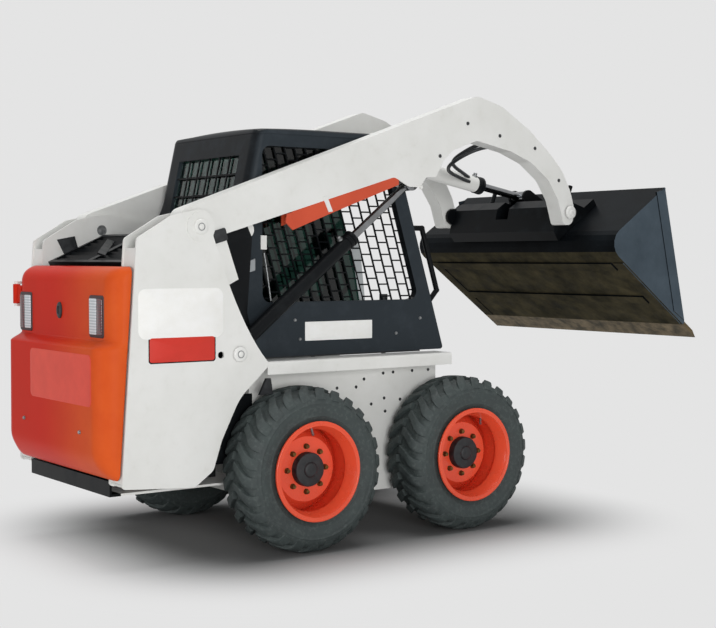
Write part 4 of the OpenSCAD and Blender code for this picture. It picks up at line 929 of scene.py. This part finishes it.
HOSE_R = 9.5
FERRULE = [(0, 0), (12, 0), (13.5, 2), (13.5, 26), (11, 29), (11, 40), (0, 40)]
hose("tilt_hose_low", [(800, -425, 1862), (745, -413, 1858), (690, -380, 1838), (652, -325, 1806),
                       (650, -258, 1776), (690, -195, 1756), (755, -145, 1742), (830, -105, 1730),
                       (900, -70, 1719), (962, -40, 1712)], HOSE_R, "boom", "tilt_barrel_body")
hose("tilt_hose_high", [(824, -425, 1884), (768, -412, 1884), (715, -375, 1866), (684, -318, 1836),
                        (686, -250, 1808), (726, -188, 1788), (788, -138, 1773), (855, -95, 1760),
                        (915, -58, 1748), (966, -30, 1736)], HOSE_R, "boom", "tilt_barrel_body")
ferrules = [lathe(FERRULE, (812, -428, 1863), (-1, 0.22, -0.07), 18),
            lathe(FERRULE, (836, -428, 1884), (-1, 0.23, 0), 18)]
piece("hose_ferrules", ferrules, "boom", STEEL)

# Steel line along the inner face of the right arm, on two clamps, and a thin pipe on the cab's side
hose("arm_line", [(-480, -419, 1513), (-300, -419, 1573), (-58, -419, 1654), (154, -419, 1714)], 6, "boom",
     finish=STEEL)
clamps = [rounded_block((x, -429.5, z), (-0.34, 0, 0.94), (0.94, 0, 0.34), 30, 26, 5, 17, 3)
          for x, z in ((-440, 1526), (-58, 1655))]
piece("arm_line_clamps", clamps, "boom", PLASTIC)
hose("cab_pipe", [(-553, -403, 1328), (-535, -403, 1224), (-518, -403, 1112)], 4, "cab", finish=STEEL)

# White caps over the pin heads that face outwards, and the snap rings round them
NOSE_PIN = (1229.0, 1540.0)
CAP_R, CAP_RISE, CAP_SINK = 33, 9.5, 8
# Section as (share of the radius, offset from the rise)
CAP = [(0, 4), (0.3, 4), (0.36, 2.5), (0.4, 0), (0.5, 0), (0.54, 1.6), (0.86, 1.6), (0.97, -0.5), (1, -3),
       (1, -1 - CAP_RISE)]
SNAP_RING = [(13.4, 8.5), (13.4, 11.0), (16.4, 11.0), (16.4, 8.5)]


def on_both_sides(section, spots, y, steps):
    """A turned section at (x, z) spots on both outer sides of the machine."""
    return [lathe(section, (x, side * y, z), (0, side, 0), steps) for x, z in spots for side in (-1, 1)]


cap = np.array(CAP) * np.array([CAP_R, 1]) + np.array([0, CAP_RISE])
UPRIGHT_PINS = (ARM_PIVOT, LIFT_BASE)
piece("nose_caps", on_both_sides(cap, [NOSE_PIN], HEAD_OUT - CAP_SINK, 40), "bucket", WHITE)
piece("upright_caps", on_both_sides(cap, UPRIGHT_PINS, PIN_OUT - CAP_SINK, 40), "chassis", WHITE)
piece("upright_rings", on_both_sides(SNAP_RING, UPRIGHT_PINS, PIN_OUT - CAP_SINK, 32), "chassis", STEEL,
      wrap_rows=True)

# Cab frame and roof, rolled over at their rear and upper edges
CAB_ROLL = 50
CAB_SPAN = 16
ROOF_BASE, ROOF_TOP = 1868, 1905
REAR_TOP_X, REAR_MID_X, REAR_MID_Z = -585, -690, 1400
ROLL_FADE = (1440, 150)
ROOF_FRONT = 177
ROOF_LAP = 1.2
ROOF_CROWN = 12
BROW, BROW_LENGTH = 10, 360


def rear_line(z):
    """The cab's rear face seen from the side: a straight line through its middle and its top."""
    return REAR_MID_X + (REAR_TOP_X - REAR_MID_X) * (z - REAR_MID_Z) / (ROOF_BASE - REAR_MID_Z)


def roll_depths(points):
    """How far points lie into the roll along x, y and z, from 0 to 1, and the roll's size, which fades
    downwards."""
    x, y, z = np.moveaxis(points, -1, 0)
    roll = np.maximum(CAB_ROLL * smoothstep((z - ROLL_FADE[0]) / ROLL_FADE[1]), 1.0)
    depths = np.stack([rear_line(z) + roll - x, np.abs(y) - CAB_HALF + roll, z - ROOF_TOP + roll], -1)
    return np.maximum(depths / roll[..., None], 0), roll


def rolled(points):
    """Square edges turned to quarter circles: a point's depths are scaled by their largest over their
    length."""
    depths, roll = roll_depths(points)
    length = np.maximum(np.linalg.norm(depths, axis=-1), 1e-6)
    shift = depths * (1 - depths.max(-1) / length)[..., None] * roll[..., None]
    return points + shift * np.stack([np.ones_like(roll), -np.sign(points[..., 1]), -np.ones_like(roll)], -1)


def make_cab_shell():
    """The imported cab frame's own mesh, merged, with edges in the rolls halved down to a span, and then
    rolled."""
    work = merged(nodes["cab_frame"].data)
    for _ in range(8):
        work.edges.ensure_lookup_table()
        ends = unplaced([[tuple(v.co) for v in edge.verts] for edge in work.edges])
        probes = np.concatenate([ends, ends.mean(1, keepdims=True)], axis=1)
        inside = ((roll_depths(probes)[0] > 0).sum(-1) > 1).any(-1)
        long = np.linalg.norm(ends[:, 0] - ends[:, 1], axis=-1) > CAB_SPAN
        chosen = [work.edges[k] for k in np.flatnonzero(inside & long)]
        if not chosen:
            break
        bmesh.ops.subdivide_edges(work, edges=chosen, cuts=1)
        bmesh.ops.triangulate(work, faces=work.faces)
    mesh = bpy.data.meshes.new("cab_shell")
    shut(work, mesh)
    mesh.vertices.foreach_set("co", place(rolled(unplaced(point_array(mesh)))).ravel())
    shell = add_object("cab_shell", mesh)
    dress(shell, "cab", CAB, 28)
    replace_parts(shell, "cab_frame")


def make_roof_shell():
    """A crowned sheet with a skirt round it: the top falls with the square of the distance from the middle
    and of the nearness to the rear edge, the skirt drops to the frame, and the whole is rolled as the frame
    is."""
    height = ROOF_TOP - ROOF_BASE + 4 * ROOF_LAP
    half = CAB_HALF + ROOF_LAP
    length = ROOF_FRONT - REAR_TOP_X
    fall = np.linspace(height, 0, 7)[:-1]
    edge = np.linspace(0, CAB_ROLL, 12)
    level_x = np.concatenate([edge, np.linspace(CAB_ROLL, length, 26)[1:]])
    level_y = np.concatenate([edge, np.linspace(CAB_ROLL, half, 13)[1:]])
    along = np.concatenate([0 * fall, level_x, [length] * 2])
    across = np.concatenate([0 * fall, level_y]) - half
    drop_x = np.concatenate([fall, 0 * level_x, [height / 2, height]])
    drop_y = np.concatenate([fall, 0 * level_y])
    across = np.concatenate([across, -across[-2::-1]])
    drop_y = np.concatenate([drop_y, drop_y[-2::-1]])
    t, y = np.meshgrid(along, across, indexing="ij")
    drop = np.maximum.outer(drop_x, drop_y)
    top = ROOF_TOP - ROOF_CROWN * (y / CAB_HALF) ** 2 - BROW * np.maximum(1 - t / BROW_LENGTH, 0) ** 2
    z = top - drop * (top - ROOF_TOP + height) / height
    share = t / length
    x = (rear_line(z) - ROOF_LAP) * (1 - share) + ROOF_FRONT * share
    shell = piece("roof_shell", rolled(np.stack([x, y, z], -1)), "cab", CAB, wrap_columns=False, wall=9)
    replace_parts(shell, "cab_roof")


make_cab_shell()
make_roof_shell()


def side_plate(corners, rows):
    """A flat plate of given corners in side view: at each row of (y, share), its outline drawn in to that
    share."""
    corners = np.array(corners, float)
    edge = np.linspace(corners, np.roll(corners, -1, 0), 6)[:-1].swapaxes(0, 1).reshape(-1, 2)
    middle = corners.mean(0)
    rings = []
    for y, share in rows:
        flat = middle + (edge - middle) * share
        rings.append(np.stack([flat[:, 0], np.full(len(flat), y), flat[:, 1]], -1))
    return capped(np.array(rings))


def slab(name, corners, y, thick, body, finish):
    """A plate from y to y plus its thickness, drawn in slightly on both faces."""
    rows = ((y, 0.985), (y + 0.15 * thick, 1.0), (y + 0.85 * thick, 1.0), (y + thick, 0.985))
    piece(name, side_plate(corners, rows), body, finish, smooth=30)


# Mud flap hung behind the fender's lip
flap = side_plate([(-621, 776), (-598, 776), (-586, 704), (-658, 704)],
                  ((-516, 1.0), (-528, 1.0), (-530, 0.96)))
piece("mud_flap", flap, "chassis", PLASTIC, smooth=30)

# Painted shade: dark sheets over the inner plates behind the right upright's open front and in the wheel
# arches, where they lie in shadow; and the cab's rubber seals
slab("upright_painted_shade", [(-600, 862), (-655, 1062), (-628, 1395), (-660, 1462), (-900, 1440), (-900, 862)],
     -424, 3, "chassis", BARREL)
for side, tag in SIDES:
    slab("arch_painted_shade_" + tag, [(-1000, 400), (-630, 400), (-630, 702), (-775, 702), (-1000, 702)],
         side * 421.5 - 1, 2, "chassis", BARREL)
    slab("cab_seal_" + tag, [(-560, 851.5), (345, 851.5), (345, 860), (-560, 860)], side * 391 - 6, 12,
         "cab", PLASTIC)

# What shows against the painted shade, and a bright strip along the side window's front edge
slab("upright_strip", [(-880, 1392), (-823, 1386), (-762, 1213), (-830, 1180)], -529.5, 4, "chassis", WHITE)
slab("cab_block", [(-687, 1273), (-601, 1302), (-601, 1250), (-674, 1229)], -406, 6, "cab", GREY)
slab("cab_bar", [(-570, 1406), (-539, 1406), (-539, 1343), (-570, 1343)], -404, 5, "cab", WHITE)
slab("window_strip", [(-61, 1391), (-8, 1391), (31, 1061), (2, 1061)], -379, 3, "cab", GREY)

# Cover and strap of the orange support, the cover in the support's darker orange of painted shade, a dark
# plate inside the left upright, and a strap over the grille
slab("support_plate", [(-476, 1429), (-513, 1462), (-506, 1500), (70, 1692), (119, 1688), (119, 1648),
                       (-260, 1510)], -ARM_OUT + 0.5, 6, "boom", SHADED_ORANGE)
slab("support_strap", [(-315, 1578), (-293, 1586), (-261, 1516), (-284, 1512)], -ARM_OUT - 3.5, 3, "boom",
     WHITE)
slab("left_plate", [(-1187, 1391), (-1097, 1408), (-1079, 1345), (-1152, 1324)], 409, 2.4, "chassis",
     PLASTIC)
STRAP = np.array([(-17, -4), (17, -4), (17, 4), (-17, 4)])
strap = swept(np.linspace((-1013, 200, 1384), (-1195, -80, 1320), 9), STRAP, (0.4, 0, 1))
piece("grille_strap", strap, "chassis", BARREL, smooth=30)

# Camera where the photograph was taken, looking to the machine's left, turned forward and slightly down
CAMERA_AT = (-3839.3, -5651.5, 1306.2)
CAMERA_YAW = 35.95
CAMERA_DOWN = 2.34
FOCAL_PX = 1376.96
PHOTO_WIDTH = 716
camera = add_object("camera", bpy.data.cameras.new("camera"))
camera.data.sensor_width = 36.0
camera.data.lens = FOCAL_PX / PHOTO_WIDTH * camera.data.sensor_width
camera.location = place(CAMERA_AT)
camera.rotation_euler = (math.radians(90 - CAMERA_DOWN), 0, math.radians(-CAMERA_YAW))
bpy.context.scene.camera = camera

# Floor, world and lamps, with the floor's sizes in metres
BACKDROP = "#e4e4e4"
SKY = "#f2f4f5"
SKY_STRENGTH = 0.26
# The floor's colour inside the wheels' rectangle is a painted shadow, darker than outside
FLOOR_PAINTED_SHADOW, FLOOR_FAR = "#868686", "#e8e8e8"
FLOOR_SIDE = 60.0
SHADOW_HALF = (0.72, 0.5, 0.0)
SHADOW_FADE = (0.1, 1.05)


def studio_floor():
    """Matt floor, drawn darker inside the wheels' rectangle as a painted shadow over the shadow it catches,
    that melts into an even backdrop outside the rectangle."""
    material, tree, here = new_finish("pale_studio_floor")
    spot = add(tree, "VectorMath", {0: here, 1: (WHEELBASE_MIDDLE, 0.0, 0.0)}, operation="SUBTRACT")[0]
    folded = add(tree, "VectorMath", {0: spot}, **UNSIGNED)[0]
    beyond = add(tree, "VectorMath", {0: folded, 1: SHADOW_HALF}, operation="SUBTRACT")[0]
    outside = add(tree, "VectorMath", {0: beyond, 1: (0.0, 0.0, 0.0)}, operation="MAXIMUM")[0]
    away = add(tree, "VectorMath", {0: outside}, operation="LENGTH")[1]
    far = add(tree, "MapRange", {0: away, 1: SHADOW_FADE[0], 2: SHADOW_FADE[1]}, **EASED)[0]
    colour = add(tree, "Mix", {0: far, 6: FLOOR_PAINTED_SHADOW, 7: FLOOR_FAR}, **RGBA)[2]
    matt = add(tree, "BsdfDiffuse", {"Color": colour})[0]
    even = add(tree, "Emission", {"Color": BACKDROP, "Strength": 1.0})[0]
    add(tree, "OutputMaterial", {"Surface": add(tree, "MixShader", {0: far, 1: matt, 2: even})[0]})
    mesh = bpy.data.meshes.new("floor")
    corners = np.array([(-1, -1, 0), (1, -1, 0), (1, 1, 0), (-1, 1, 0)]) * FLOOR_SIDE
    mesh.from_pydata(corners.tolist(), [], [(0, 1, 2, 3)])
    mesh.materials.append(material)
    add_object("floor", mesh)


def studio_world():
    """Soft even sky, and the plain backdrop to the camera and in what mirrors or refracts it."""
    world = bpy.data.worlds.new("studio")
    bpy.context.scene.world = world
    tree = empty_tree(world)
    rays = add(tree, "LightPath")
    seen = rays["Is Camera Ray"]
    for kind in ("Is Transmission Ray", "Is Glossy Ray"):
        seen = add(tree, "Math", {0: seen, 1: rays[kind]}, operation="MAXIMUM")[0]
    soft = add(tree, "Background", {"Color": SKY, "Strength": SKY_STRENGTH})[0]
    plain = add(tree, "Background", {"Color": BACKDROP, "Strength": 1.0})[0]
    add(tree, "OutputWorld", {"Surface": add(tree, "MixShader", {0: seen, 1: soft, 2: plain})[0]})


def soft_lamp(name, at, towards, size, power):
    """A square area lamp aimed at a point."""
    lamp = add_object(name, bpy.data.lights.new(name, "AREA"))
    lamp.data.size = size
    lamp.data.energy = power
    lamp.location = place(at)
    x, y, z = place(towards) - place(at)
    lamp.rotation_euler = (math.atan2(math.hypot(x, y), -z), 0, math.atan2(y, x) - math.pi / 2)


studio_floor()
studio_world()
soft_lamp("top", (200, 700, 10000), (0, 0, 0), 7.0, 690)
soft_lamp("low_front", (-3600, -9000, 1500), (200, 0, 1000), 4.0, 445)
soft_lamp("low_rear", (-9500, -1500, 1300), (0, 0, 900), 4.0, 160)
bpy.context.scene.view_settings.view_transform = "Standard"
